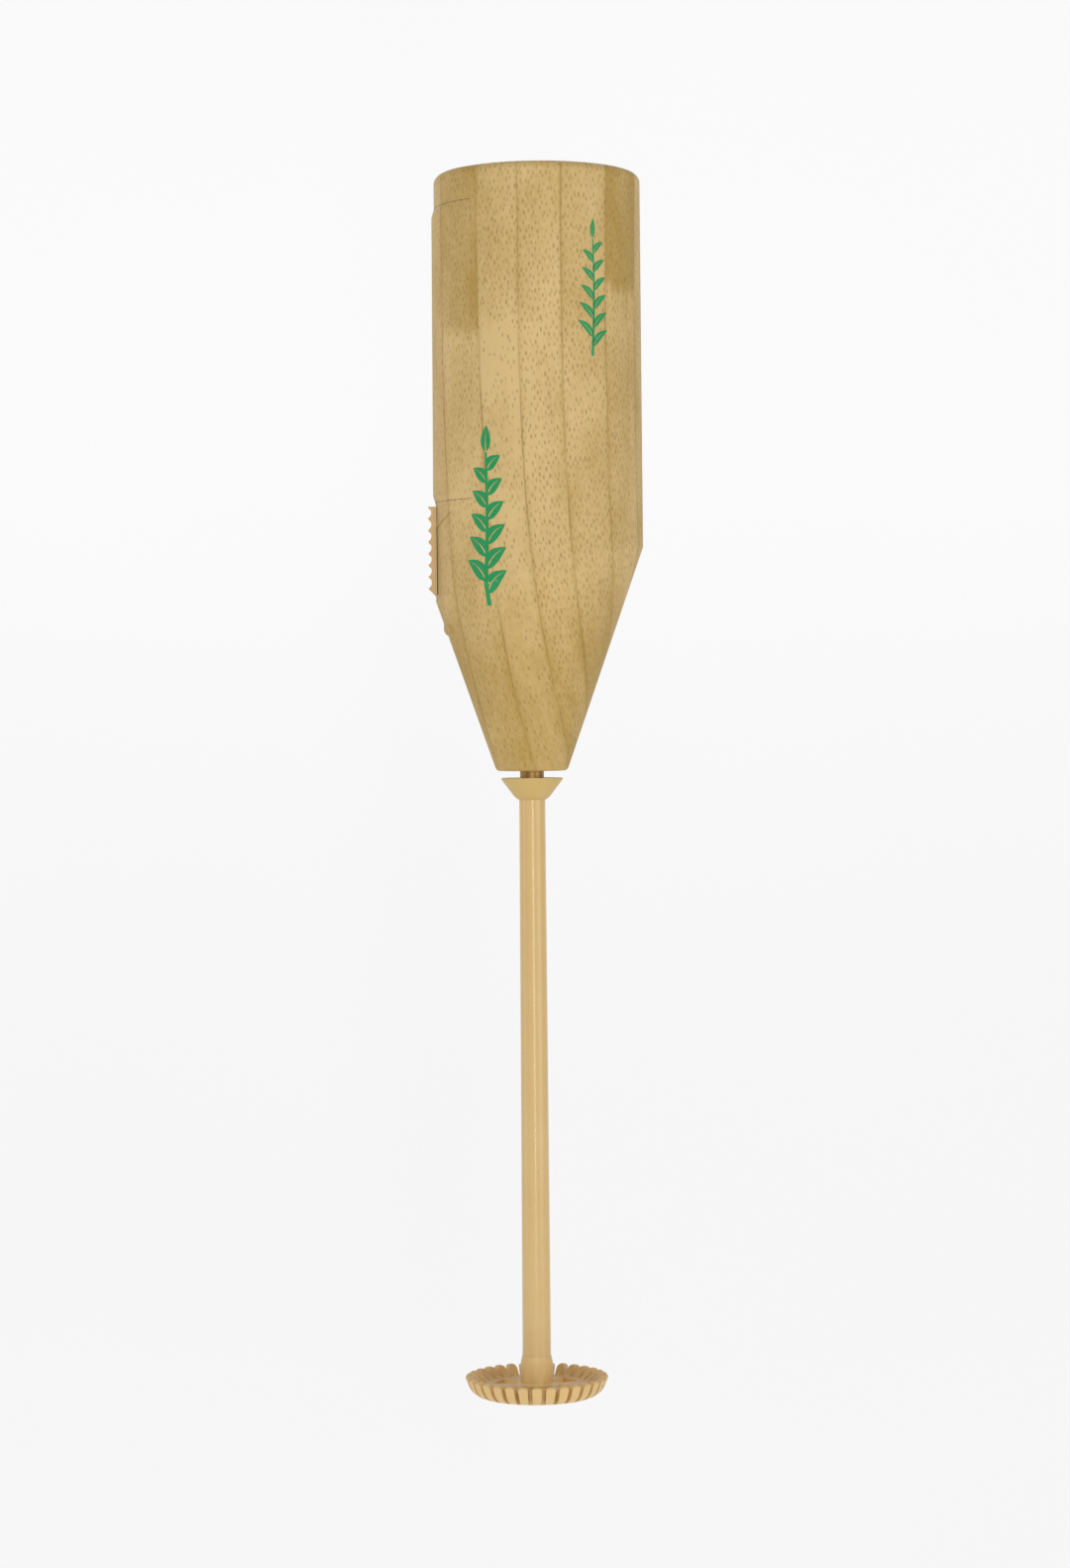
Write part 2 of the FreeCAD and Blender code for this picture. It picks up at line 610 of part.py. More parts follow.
def make_switch_contact():
    """Strip from the other motor terminal to the switch."""
    level = ("tray_floor_z - 4.8", "tray_floor_z - 3")
    tail = ("-4", "-1.5")
    near_y = "terminal_y + terminal_thick / 2"
    arm = box("switch_strip_arm", ("switch_leg_x", "1.2"), (near_y, f"{near_y} + strip_thick"), level)
    back = box("switch_strip_back", ("switch_leg_x", "switch_leg_x + strip_thick"),
               (tail[0], f"{near_y} + strip_thick"), level)
    step = box("switch_strip_step", ("wiped_x", "switch_leg_x + strip_thick"), tail,
               (f"{level[0]} - strip_thick", level[0]))
    face = box("switch_strip_face", ("wiped_x", "wiped_x + strip_thick"), tail,
               ("wiped_bottom_z", level[0]))
    return node(fuse("switch_contact", arm, back, step, face), "switch_contact")


# ---------------------------------------------------------------- slide switch

def make_switch_button():
    """Ribbed thumb button with the stem that reaches through the case."""
    body = new_body("switch_button")
    side = new_sketch(body, "XZ_Plane", "button_side")
    outline(side, [
        ("button_back_x", "button_foot_z"),
        ("button_back_x", "button_top_z"),
        ("button_tip_x", "button_top_z"),
        ("button_tip_x", "button_last_rib_z"),
    ])
    block = body.newObject("PartDesign::Pad", "button_block")
    block.Profile = side
    block.Midplane = True
    bind(block, Length="button_width")
    body.Tip = block
    doc.recompute()

    hollow_radius = "((rib_pitch / 2) ^ 2 + rib_depth ^ 2) / (2 * rib_depth)"
    rib = new_sketch(body, "XZ_Plane", "rib_hollow")
    rib.addGeometry(Part.Circle(FreeCAD.Vector(-20, -40, 0), FreeCAD.Vector(0, 0, 1), 1.3))
    hold_point(rib, 0, 3, f"button_tip_x + rib_depth - {hollow_radius}",
               "button_last_rib_z + rib_pitch / 2")
    radius = rib.addConstraint(Sketcher.Constraint("Radius", 0, 1.3))
    rib.setExpression(f"Constraints[{radius}]", formula(hollow_radius))
    hollow = body.newObject("PartDesign::Pocket", "rib_hollow_cut")
    hollow.Profile = rib
    hollow.Midplane = True
    bind(hollow, Length="button_width + 2")
    body.Tip = hollow
    doc.recompute()
    ribs = body.newObject("PartDesign::LinearPattern", "rib_row")
    ribs.Originals = [hollow]
    ribs.Direction = (rib, ["V_Axis"])
    ribs.Occurrences = 7
    bind(ribs, Length="6 * rib_pitch")
    body.Tip = ribs
    doc.recompute()

    stem_side = new_sketch(body, "XZ_Plane", "stem_side")
    outline(stem_side, [
        ("button_back_x - 0.3", "stem_top_z - stem_height"),
        ("stem_end_x", "stem_top_z - stem_height"),
        ("stem_end_x", "stem_top_z"),
        ("button_back_x - 0.3", "stem_top_z"),
    ])
    stem = body.newObject("PartDesign::Pad", "button_stem")
    stem.Profile = stem_side
    stem.Midplane = True
    bind(stem, Length="stem_width")
    body.Tip = stem
    doc.recompute()
    return node(body, "switch_button")


def make_contact_carrier():
    """Block inside the case, on the end of the button's stem."""
    block = box("switch_carrier", ("stem_end_x", "carrier_end_x"),
                ("-carrier_width / 2", "carrier_width / 2"),
                ("stem_top_z - stem_height - 0.4", "stem_top_z + 0.6"))
    return node(block, "switch_carrier")


def make_contact_leaf():
    """Moving contact on the carrier, which bridges the two fixed strips."""
    leaf = box("switch_leaf", ("carrier_end_x", "carrier_end_x + strip_thick"), ("-4", "5"),
               ("stem_top_z - 3.2", "stem_top_z - 1.2"))
    return node(leaf, "switch_leaf")


# ---------------------------------------------------------------- motor

MOTOR_TOP = "motor_bottom_z + motor_can_height"
BELL_TOP = "motor_bottom_z + motor_can_height + motor_bell_height"


def flatted(name, radius, flat, low, high):
    """A cylinder about the spin axis with a flat on each X side."""
    slab = box(f"{name}_slab", (f"-({flat})", flat), ("-20", "20"), (low, high))
    return common(name, rod(f"{name}_round", radius, low, high), slab)


def make_motor_can():
    """Drawn steel can with a bearing boss on its drive face."""
    outside = flatted("can_outside", "motor_radius", "motor_flat_x", "motor_bottom_z", MOTOR_TOP)
    boss = rod("can_boss", "boss_radius", "motor_bottom_z - boss_height", "motor_bottom_z + 0.1")
    inside = flatted("can_inside", "motor_radius - motor_wall", "motor_flat_x - motor_wall",
                     "motor_bottom_z + motor_wall", f"{MOTOR_TOP} + 1")
    bush_seat = rod("can_bush_seat", "bush_radius", "motor_bottom_z - boss_height + 0.4",
                    "motor_bottom_z + 2")
    shaft_hole = rod("can_shaft_hole", "shaft_radius + 0.4", "motor_bottom_z - boss_height - 1",
                     "motor_bottom_z")
    can = cut("motor_can", fuse("can_blank", outside, boss), inside, bush_seat, shaft_hole)
    return node(can, "motor_can")


def make_motor_end_bell():
    """Moulded end bell that closes the can and holds the brushes."""
    blank = flatted("bell_blank", "motor_radius", "motor_flat_x", MOTOR_TOP, BELL_TOP)
    room = rod("bell_room", "6", f"{MOTOR_TOP} - 1", f"{MOTOR_TOP} + 2.5")
    seat = rod("bell_bush_seat", "bush_radius", MOTOR_TOP, f"{BELL_TOP} + 1")
    return node(cut("motor_end_bell", blank, room, seat), "motor_end_bell")


def make_bushing(name, low, high):
    """Plain bronze bushing round the motor shaft."""
    ring = rod(f"{name}_ring", "bush_radius", low, high)
    bore = rod(f"{name}_bore", "shaft_radius + shaft_gap", f"{low} - 1", f"{high} + 1")
    return node(cut(name, ring, bore), name)


def make_motor_magnets():
    """Two ferrite arcs against the can's round sides."""
    height = ("motor_bottom_z + 3", f"{MOTOR_TOP} - 1.5")
    ring = cut("magnet_ring", rod("magnet_outer", "motor_radius - motor_wall", *height),
               rod("magnet_inner", "magnet_inner_radius", *height))
    sides = box("magnet_sides", ("-magnet_half_width", "magnet_half_width"), ("-20", "20"), height)
    return node(common("motor_magnets", ring, sides), "motor_magnets")


def make_motor_brushes():
    """Two copper leaves that hang from the end bell beside the commutator."""
    height = (f"{MOTOR_TOP} - 2.2", f"{MOTOR_TOP} + 2.5")
    near = "commutator_radius + slip_gap"
    leaves = [box("brush_front", ("-1", "4.5"), (f"-({near}) - 0.25", f"-({near})"), height),
              box("brush_back", ("-4.5", "1"), (near, f"{near} + 0.25"), height)]
    pair = doc.addObject("Part::Compound", "motor_brushes")
    pair.Links = leaves
    return node(pair, "motor_brushes")


def make_motor_terminals():
    """Two tabs standing on the end bell."""
    height = (BELL_TOP, f"{BELL_TOP} + 3")
    half = "terminal_thick / 2"
    tabs = [box(f"terminal_{side}", ("-1.2", "1.2"), (f"{y} - {half}", f"{y} + {half}"), height)
            for side, y in (("front", "-terminal_y"), ("back", "terminal_y"))]
    pair = doc.addObject("Part::Compound", "motor_terminals")
    pair.Links = tabs
    return node(pair, "motor_terminals")


def make_motor_shaft():
    return node(rod("motor_shaft", "shaft_radius", "shaft_bottom_z", "shaft_top_z"), "motor_shaft")


def make_armature_core():
    """Three-pole laminated stack."""
    low = "core_bottom_z"
    high = "core_bottom_z + core_height"
    stack = rod("core_stack", "core_radius", low, high)
    bore = rod("core_bore", "shaft_radius", f"{low} - 1", f"{high} + 1")
    pocket = rod("core_pocket", "coil_pocket_radius", f"{low} - 1", f"{high} + 1", "coil_pocket_reach")
    mouth = box("core_mouth", ("coil_pocket_reach", "core_radius + 1"), ("-0.45", "0.45"),
                (f"{low} - 1", f"{high} + 1"))
    slot = fuse("core_slot", pocket, mouth)
    slots = [around(f"core_slot_{angle}", slot, angle) for angle in (0, 120, 240)]
    return node(cut("armature_core", stack, bore, *slots), "armature_core")


def make_armature_windings():
    """Copper windings: three bundles through the core and the turns at its ends."""
    low = "core_bottom_z"
    high = "core_bottom_z + core_height"
    bundle = rod("coil_bundle", "coil_pocket_radius - 0.1", f"{low} - 0.6", f"{high} + 0.6",
                 "coil_pocket_reach")
    bundles = [around(f"coil_bundle_{angle}", bundle, angle) for angle in (0, 120, 240)]
    ends = [cut(f"coil_end_{end}", rod(f"coil_end_outer_{end}", "5.5", *levels),
                rod(f"coil_end_inner_{end}", "1.8", *levels))
            for end, levels in (("low", (f"{low} - 1.5", low)), ("high", (high, f"{high} + 1.5")))]
    return node(fuse("armature_windings", *bundles, *ends), "armature_windings")


def make_commutator():
    """Copper drum in three segments."""
    low = "core_bottom_z + core_height + 2"
    high = f"{MOTOR_TOP} + 1"
    drum = rod("commutator_drum", "commutator_radius", low, high)
    bore = rod("commutator_bore", "shaft_radius", f"{low} - 1", f"{high} + 1")
    slit = box("commutator_slit", ("commutator_radius - 0.5", "commutator_radius + 1"),
               ("-0.15", "0.15"), (f"{low} + 0.5", f"{high} + 1"))
    slits = [around(f"commutator_slit_{angle}", slit, angle) for angle in (0, 120, 240)]
    return node(cut("commutator", drum, bore, *slits), "commutator")


# ---------------------------------------------------------------- spindle and wand

def make_drive_spindle():
    """Steel spindle: socket for the motor shaft, neck in the nose, core in the wand."""
    body = turned("drive_spindle", [
        ("0", "socket_end_z + 0.4"),
        ("core_rod_radius", "socket_end_z + 0.4"),
        ("core_rod_radius", "spindle_step_z"),
        ("spindle_radius", "spindle_step_z"),
        ("spindle_radius", "spindle_top_z"),
        ("shaft_radius", "spindle_top_z"),
        ("shaft_radius", "shaft_bottom_z"),
        ("0", "shaft_bottom_z"),
    ])
    return node(body, "drive_spindle")


def make_wand_collar():
    """Flared collar at the top of the wand, dished on top to keep tea off the nose."""
    body = turned("wand_collar", [
        ("spindle_radius", "collar_top_z - 1.2"),
        ("collar_rim_radius - 0.45", "collar_top_z"),
        ("collar_rim_radius", "collar_top_z"),
        ("collar_rim_radius", "collar_top_z - 0.35"),
        ("collar_neck_radius", "collar_bottom_z + collar_foot_height"),
        ("tube_top_radius + 0.2", "collar_bottom_z"),
        ("core_rod_radius", "collar_bottom_z"),
        ("core_rod_radius", "spindle_step_z"),
        ("spindle_radius", "spindle_step_z"),
    ])
    return node(body, "wand_collar")


def make_wand_tube():
    """Tapered tube round the spindle's core, with a spigot for the whisk."""
    body = turned("wand_tube", [
        ("core_rod_radius", "collar_bottom_z"),
        ("tube_top_radius", "collar_bottom_z"),
        ("tube_low_radius", "hub_top_z"),
        ("socket_radius", "hub_top_z"),
        ("socket_radius", "socket_end_z"),
        ("core_rod_radius", "socket_end_z"),
    ])
    return node(body, "wand_tube")


# ---------------------------------------------------------------- whisk head

def make_whisk_head():
    """Toothed bowl on a hub: turned, then cut into teeth and pierced with windows."""
    body = turned("whisk_head", [
        ("0", "whisk_bottom_z"),
        ("whisk_foot_radius", "whisk_bottom_z"),
        ("whisk_tip_radius", "whisk_tip_z"),
        ("whisk_tip_radius - whisk_wall", "whisk_tip_z"),
        ("whisk_floor_radius", "whisk_floor_z"),
        ("hub_radius", "whisk_floor_z"),
        ("hub_radius", "hub_flare_z"),
        ("tube_low_radius + 0.06", "hub_top_z"),
        ("socket_radius", "hub_top_z"),
        ("socket_radius", "socket_end_z"),
        ("0", "socket_end_z"),
    ])
    tip_radius = size("whisk_tip_radius")
    round_ring(body, "whisk_corner", size("whisk_foot_radius"), size("whisk_bottom_z"),
               "whisk_corner_round")
    round_ring(body, "whisk_outer_tip", tip_radius, size("whisk_tip_z"), "tooth_edge_round")
    round_ring(body, "whisk_inner_tip", tip_radius - size("whisk_wall"), size("whisk_tip_z"),
               "tooth_edge_round")
    round_ring(body, "whisk_floor_round", size("whisk_floor_radius"), size("whisk_floor_z"), "0.8")
    round_ring(body, "whisk_hub_round", size("hub_radius"), size("whisk_floor_z"), "0.6")
    polar(body, "whisk_teeth", cut_tooth_gap(body), "tooth_count")
    polar(body, "whisk_windows", cut_window(body), "window_count")
    half_pitch = 180.0 / size("tooth_count")
    turn = FreeCAD.Rotation(FreeCAD.Vector(0, 0, 1), half_pitch)
    body.Placement = FreeCAD.Placement(FreeCAD.Vector(), turn)
    return node(body, "whisk_head")


def cut_tooth_gap(body):
    """One gap between teeth, flared at the top so that the teeth's corners are round."""
    half = size("tooth_gap") / 2
    rounding = size("tooth_round")
    tip = size("whisk_tip_z")
    low = size("whisk_bottom_z") - 1
    right = [(half, low), (half, tip - rounding), (half + rounding, tip), (half + rounding, tip + 1)]
    corners = right + [(-x, z) for x, z in reversed(right)]
    wide = "tooth_gap / 2 + tooth_round"
    formulas = [("tooth_gap / 2", "whisk_bottom_z - 1"), ("tooth_gap / 2", "whisk_tip_z - tooth_round"),
                (wide, "whisk_tip_z"), (wide, "whisk_tip_z + 1"),
                (f"-({wide})", "whisk_tip_z + 1"), (f"-({wide})", "whisk_tip_z"),
                ("-tooth_gap / 2", "whisk_tip_z - tooth_round"), ("-tooth_gap / 2", "whisk_bottom_z - 1")]
    sketch = new_sketch(body, "YZ_Plane", "tooth_gap_shape")
    sketch.setExpression("AttachmentOffset.Base.z", formula("tooth_root_radius"))
    arcs = {1: (1, 0.5, 1.0), 5: (-1, 0.0, 0.5)}
    for i in range(8):
        start = FreeCAD.Vector(*corners[i], 0)
        end = FreeCAD.Vector(*corners[(i + 1) % 8], 0)
        if i in arcs:
            side, first, last = arcs[i]
            centre = FreeCAD.Vector(side * (half + rounding), tip - rounding, 0)
            circle = Part.Circle(centre, FreeCAD.Vector(0, 0, 1), rounding)
            sketch.addGeometry(Part.ArcOfCircle(circle, first * math.pi, last * math.pi))
        else:
            sketch.addGeometry(Part.LineSegment(start, end))
    for i in range(8):
        # both arcs run anticlockwise, against the outline's own direction
        leave = 1 if i in arcs else 2
        arrive = 2 if (i + 1) % 8 in arcs else 1
        sketch.addConstraint(Sketcher.Constraint("Coincident", i, leave, (i + 1) % 8, arrive))
    for i, (y, z) in enumerate(formulas):
        hold_point(sketch, i, 2 if i in arcs else 1, y, z, corners[i])
    for i in arcs:
        radius = sketch.addConstraint(Sketcher.Constraint("Radius", i, rounding))
        sketch.setExpression(f"Constraints[{radius}]", formula("tooth_round"))
    doc.recompute()

    gap = body.newObject("PartDesign::Pocket", "tooth_gap")
    gap.Profile = sketch
    gap.Type = 0
    gap.Reversed = True
    bind(gap, Length="whisk_tip_radius")
    body.Tip = gap
    doc.recompute()
    return gap


def cut_window(body):
    """One arc-shaped window through the floor."""
    sketch = outline(new_sketch(body, "YZ_Plane", "window_shape"), [
        ("window_inner_radius", "whisk_bottom_z - 1"),
        ("window_outer_radius", "whisk_bottom_z - 1"),
        ("window_outer_radius", "whisk_floor_z + 0.5"),
        ("window_inner_radius", "whisk_floor_z + 0.5"),
    ])
    window = body.newObject("PartDesign::Groove", "floor_window")
    window.Profile = sketch
    window.ReferenceAxis = (sketch, ["V_Axis"])
    window.Midplane = True
    bind(window, Angle="window_angle")
    body.Tip = window
    doc.recompute()
    return window


def build():
    make_case_shell()
    make_end_cap()
    make_battery_door()
    make_nose_bushing()
    make_inner_chassis()
    make_cell("battery_cell_left", 1, True)
    make_cell("battery_cell_right", -1, False)
    make_spring("lower_spring", 1, False, "tray_floor_z + strip_thick")
    make_spring("upper_spring", -1, True, "tray_roof_z - strip_thick")
    make_bridge_contact()
    make_negative_contact()
    make_positive_contact()
    make_switch_contact()
    make_switch_button()
    make_contact_carrier()
    make_contact_leaf()
    make_motor_can()
    make_motor_end_bell()
    make_bushing("motor_front_bushing", "motor_bottom_z - boss_height + 0.4",
                 "motor_bottom_z + motor_wall")
    make_bushing("motor_rear_bushing", f"{MOTOR_TOP} + 2.5", f"{BELL_TOP} - 0.1")
    make_motor_magnets()
    make_motor_brushes()
    make_motor_terminals()
    make_motor_shaft()
    make_armature_core()
    make_armature_windings()
    make_commutator()
    make_drive_spindle()
    make_wand_collar()
    make_wand_tube()
    make_whisk_head()


def check_and_write():
    """Stop on any failed feature or bad solid, then write one STEP file per node."""
    doc.recompute()
    for thing in doc.Objects:
        state = [word for word in thing.State if word in ("Invalid", "Error")]
        if state:
            raise RuntimeError(f"{thing.Label}: {state}")
    for thing in NODES:
        if thing.Shape.isNull() or not thing.Shape.isValid() or not thing.Shape.Solids:
            raise RuntimeError(f"{thing.Label}: no valid solid")
    os.makedirs("parts", exist_ok=True)
    for thing in NODES:
        thing.Shape.exportStep(f"parts/{thing.Label}.step")


build()
check_and_write()
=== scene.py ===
import math
from collections import namedtuple

import bmesh
import bpy
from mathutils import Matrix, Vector
from mathutils.bvhtree import BVHTree


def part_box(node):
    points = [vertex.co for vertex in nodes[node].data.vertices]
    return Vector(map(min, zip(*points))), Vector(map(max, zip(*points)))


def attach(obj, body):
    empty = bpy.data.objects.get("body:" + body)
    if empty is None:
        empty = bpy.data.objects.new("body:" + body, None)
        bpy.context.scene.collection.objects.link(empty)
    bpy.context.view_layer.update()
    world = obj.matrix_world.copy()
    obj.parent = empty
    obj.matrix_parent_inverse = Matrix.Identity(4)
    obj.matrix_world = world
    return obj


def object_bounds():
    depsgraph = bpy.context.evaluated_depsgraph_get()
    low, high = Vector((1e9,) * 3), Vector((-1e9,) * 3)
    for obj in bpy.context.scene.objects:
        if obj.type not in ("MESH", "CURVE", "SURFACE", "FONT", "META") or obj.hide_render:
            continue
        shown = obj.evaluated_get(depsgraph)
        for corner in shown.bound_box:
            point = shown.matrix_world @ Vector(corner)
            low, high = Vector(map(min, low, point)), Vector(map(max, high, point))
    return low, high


# Looks for the hand-held battery tea whisk. Objects are in metres, in the CAD's frame:
# +Z up the spin axis, the whisk down, the battery door and the switch on -X.
# The front, as seen by the camera, is -Y. Materials and prints are worked out in millimetres.

MM = 0.001

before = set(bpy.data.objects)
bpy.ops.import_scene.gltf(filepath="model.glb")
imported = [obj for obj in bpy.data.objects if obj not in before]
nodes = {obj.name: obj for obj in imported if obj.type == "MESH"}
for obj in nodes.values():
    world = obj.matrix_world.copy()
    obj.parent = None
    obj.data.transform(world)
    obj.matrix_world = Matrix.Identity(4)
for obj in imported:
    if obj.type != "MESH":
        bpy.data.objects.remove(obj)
cad_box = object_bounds()

cap_low, cap_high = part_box("end_cap")
GRIP_AXIS_X = (cap_low.x + cap_high.x) / 2
GRIP_RADIUS = (cap_high.x - cap_low.x) / 2
GRIP_TOP_Z = cap_high.z


# ---------------------------------------------------------------- material helper

def srgb(code):
    """A linear RGBA colour from a six-digit colour code."""
    values = [int(code[i:i + 2], 16) / 255 for i in (0, 2, 4)]
    linear = [v / 12.92 if v <= 0.04045 else ((v + 0.055) / 1.055) ** 2.4 for v in values]
    return (*linear, 1.0)


class Look:
    """One material and short calls for its nodes. Lengths along its coordinates are in mm."""

    def __init__(self, name):
        self.material = bpy.data.materials.new(name)
        self.material.use_nodes = True
        self.tree = self.material.node_tree
        self.shader = self.tree.nodes["Principled BSDF"]
        place = self.tree.nodes.new("ShaderNodeTexCoord").outputs["Object"]
        in_mm = self.node("VectorMath", operation="SCALE")
        self.feed(in_mm.inputs[0], place)
        in_mm.inputs["Scale"].default_value = 1 / MM
        self.place = in_mm.outputs[0]
        self.x, self.y, self.z = self.parts(self.place)

    def node(self, kind, **settings):
        made = self.tree.nodes.new("ShaderNode" + kind)
        for key, value in settings.items():
            setattr(made, key, value)
        return made

    def feed(self, socket, value):
        if isinstance(value, bpy.types.NodeSocket):
            self.tree.links.new(value, socket)
        else:
            socket.default_value = value

    def math(self, operation, a, b=0.0, c=0.0):
        made = self.node("Math", operation=operation)
        for socket, value in zip(made.inputs, (a, b, c)):
            self.feed(socket, value)
        return made.outputs[0]

    def plus(self, a, b):
        return self.math("ADD", a, b)

    def minus(self, a, b):
        return self.math("SUBTRACT", a, b)

    def times(self, a, b):
        return self.math("MULTIPLY", a, b)

    def scaled(self, value, factor, start):
        """start, and factor times the value on top of it."""
        return self.math("MULTIPLY_ADD", value, factor, start)

    def vary(self, base, noise, amount):
        """base, moved by amount times how far a noise is from its middle."""
        return self.scaled(self.minus(noise, 0.5), amount, base)

    def distance(self, a, b):
        """The distance that lies a one way and b square to it."""
        return self.math("SQRT", self.scaled(a, a, self.times(b, b)))

    def vector(self, x, y, z=0.0):
        made = self.node("CombineXYZ")
        for socket, value in zip(made.inputs, (x, y, z)):
            self.feed(socket, value)
        return made.outputs[0]

    def parts(self, vector):
        """The three parts of a vector."""
        made = self.node("SeparateXYZ")
        self.feed(made.inputs[0], vector)
        return made.outputs

    def channels(self, color):
        """The red, green and blue of a colour, used as three numbers."""
        made = self.node("SeparateColor")
        self.feed(made.inputs[0], color)
        return made.outputs

    def facing(self):
        """The three parts of the direction that the surface faces."""
        return self.parts(self.node("NewGeometry").outputs["Normal"])

    def stretch(self, x, y, z):
        """The place, with each direction scaled: a small number draws a texture out that way."""
        made = self.node("VectorMath", operation="MULTIPLY")
        self.feed(made.inputs[0], self.place)
        made.inputs[1].default_value = (x, y, z)
        return made.outputs[0]

    def step(self, value, low, high, start=0.0, end=1.0):
        """start below low, end above high, and a smooth change between."""
        made = self.node("MapRange", interpolation_type="SMOOTHSTEP")
        for socket, item in zip(made.inputs, (value, low, high, start, end)):
            self.feed(socket, item)
        return made.outputs[0]

    def noise(self, vector, scale=1.0, detail=3.0, roughness=0.55):
        made = self.node("TexNoise")
        self.feed(made.inputs["Vector"], vector)
        made.inputs["Scale"].default_value = scale
        made.inputs["Detail"].default_value = detail
        made.inputs["Roughness"].default_value = roughness
        return made.outputs[0]

    def mix(self, factor, a, b):
        made = self.node("Mix", data_type="RGBA", clamp_factor=True)
        for socket, value in zip([made.inputs[i] for i in (0, 6, 7)], (factor, a, b)):
            self.feed(socket, value)
        return made.outputs[2]

    def bump(self, height, depth_mm, strength=0.6):
        made = self.node("Bump")
        made.inputs["Strength"].default_value = strength
        made.inputs["Distance"].default_value = depth_mm * MM
        self.feed(made.inputs["Height"], height)
        self.feed(self.shader.inputs["Normal"], made.outputs[0])

    def finish(self, color, roughness, metallic=0.0, specular=0.5, coat=0.0):
        """metallic may vary over the surface, like the colour and the roughness."""
        self.feed(self.shader.inputs["Base Color"], color)
        self.feed(self.shader.inputs["Roughness"], roughness)
        self.feed(self.shader.inputs["Metallic"], metallic)
        self.shader.inputs["Specular IOR Level"].default_value = specular
        self.shader.inputs["Coat Weight"].default_value = coat
        self.shader.inputs["Coat Roughness"].default_value = 0.1
        return self.material


# ---------------------------------------------------------------- bamboo film on the grip

# The film on the grip shows laminated bamboo boards, listed from the back round to the back.
# left is a board's left edge, in mm along the film from the front. joint is the height in mm
# at which its upper length meets its lower one. Each length has its own darkness and its own
# share of dots.
Board = namedtuple("Board", "left joint dark_above dark_below dots_above dots_below")
BOARDS = [
    Board(-60.0, 9.0, 0.55, 0.25, 0.8, 0.4),
    Board(-51.0, -12.0, 0.20, 0.60, 0.5, 0.9),
    Board(-42.0, 16.0, 0.65, 0.30, 0.9, 0.5),
    Board(-31.5, -5.0, 0.35, 0.30, 0.5, 0.4),
    Board(-22.2, 4.0, 0.72, 0.16, 1.0, 0.5),
    Board(-11.7, 6.0, 0.24, 0.08, 0.8, 0.15),
    Board(-3.7, 4.5, 0.32, 0.18, 0.9, 0.6),
    Board(4.3, 6.5, 0.42, 0.34, 0.7, 0.7),
    Board(13.5, 11.5, 0.95, 0.34, 1.0, 0.6),
    Board(23.0, -8.0, 0.35, 0.55, 0.6, 0.9),
    Board(32.5, 14.0, 0.60, 0.20, 0.9, 0.5),
    Board(42.0, -15.0, 0.25, 0.45, 0.4, 0.8),
    Board(51.0, 2.0, 0.50, 0.30, 0.8, 0.5),
]
FILM_END = 60.0
JOINT_SPAN = 100.0          # every joint lies between minus and plus this height
JOINT_RAGGED = 6.0          # how far a joint's edge runs up and down
JOINT_SOFT = (1.2, 4.8)     # the tone changes between these heights over the joint
BOARD_SEED = 11.7           # sets each board's unevenness apart from its neighbours'

FILM_LEAN = 4.5e-7          # the boards lean by this times the depth to the power below
FILM_LEAN_POWER = 3.6
FILM_NARROWING = 0.00084    # each mm of depth makes the boards narrower by this share
FILM_WANDER = 0.6           # how far the boards' edges stray from straight
FLAT_END_FACING = 0.75      # what faces up more than this is taken for the grip's flat end

DOT_COLUMN = 1.0            # spacing of the dots across the boards
DOT_ROW = 2.3               # and down them
DOT_SHIFT = 7.31            # columns by which each board's dots are moved from the last board's
DOT_SCATTER = 0.62          # 0 keeps the dots in strict rows, 1 sets them anywhere
DOT_REACH = 0.16            # a dot's least radius, in cells
DOT_REACH_MORE = 0.12       # and how much larger the largest one is

PAD_ARCH_Z = -11.1          # middle of the arc along the thumb pad's upper edge
PAD_ARCH_RADIUS = 20.0
PAD_ARCH_LINE = (0.06, 0.30)      # the line fades out between these distances from the arc
PAD_ARCH_TOP = (-28.4, -28.0)     # between these heights
PAD_FRONT_X = (-9.0, -8.0)        # and between these places, away from the switch's side

NOSE_SHADE_DEPTH = (72.0, 92.0)   # painted shade on the down-facing nose deepens between these depths

FILM_LIGHT = srgb("ceb17a")
FILM_DARK = srgb("ac8d4c")
FILM_LINE = srgb("856b34")


def film_place(look):
    """Where a point lies on the film: mm along it, and mm down from the top of the grip."""
    across = look.minus(look.x, GRIP_AXIS_X / MM)
    toward = look.times(look.y, -1.0)
    along = look.times(look.distance(across, toward), look.math("ARCTAN2", across, toward))
    depth = look.minus(GRIP_TOP_Z / MM, look.z)
    # the film leans to the right as it goes down, faster and faster towards the nose
    lean = look.math("POWER", look.math("MAXIMUM", depth, 0.0), FILM_LEAN_POWER)
    along = look.minus(along, look.times(lean, FILM_LEAN))
    along = look.math("DIVIDE", along, look.scaled(depth, -FILM_NARROWING, 1.0))
    # on the flat end of the grip the film lies straight across
    flat_end = look.math("GREATER_THAN", look.facing()[2], FLAT_END_FACING)
    along = look.plus(along, look.times(flat_end, look.minus(look.x, along)))
    depth = look.plus(depth, look.times(flat_end, look.minus(look.y, depth)))
    wander = look.noise(look.stretch(0.05, 0.05, 0.05), detail=2.0)
    return look.vary(along, wander, FILM_WANDER), depth


def ramp_stops(ramp, places, colors):
    """Set a ramp's stops. A new ramp already has two."""
    stops = ramp.color_ramp.elements
    for i, (place, color) in enumerate(zip(places, colors)):
        stop = stops[i] if i < 2 else stops.new(place)
        stop.position = place
        stop.color = (*color, 1.0)


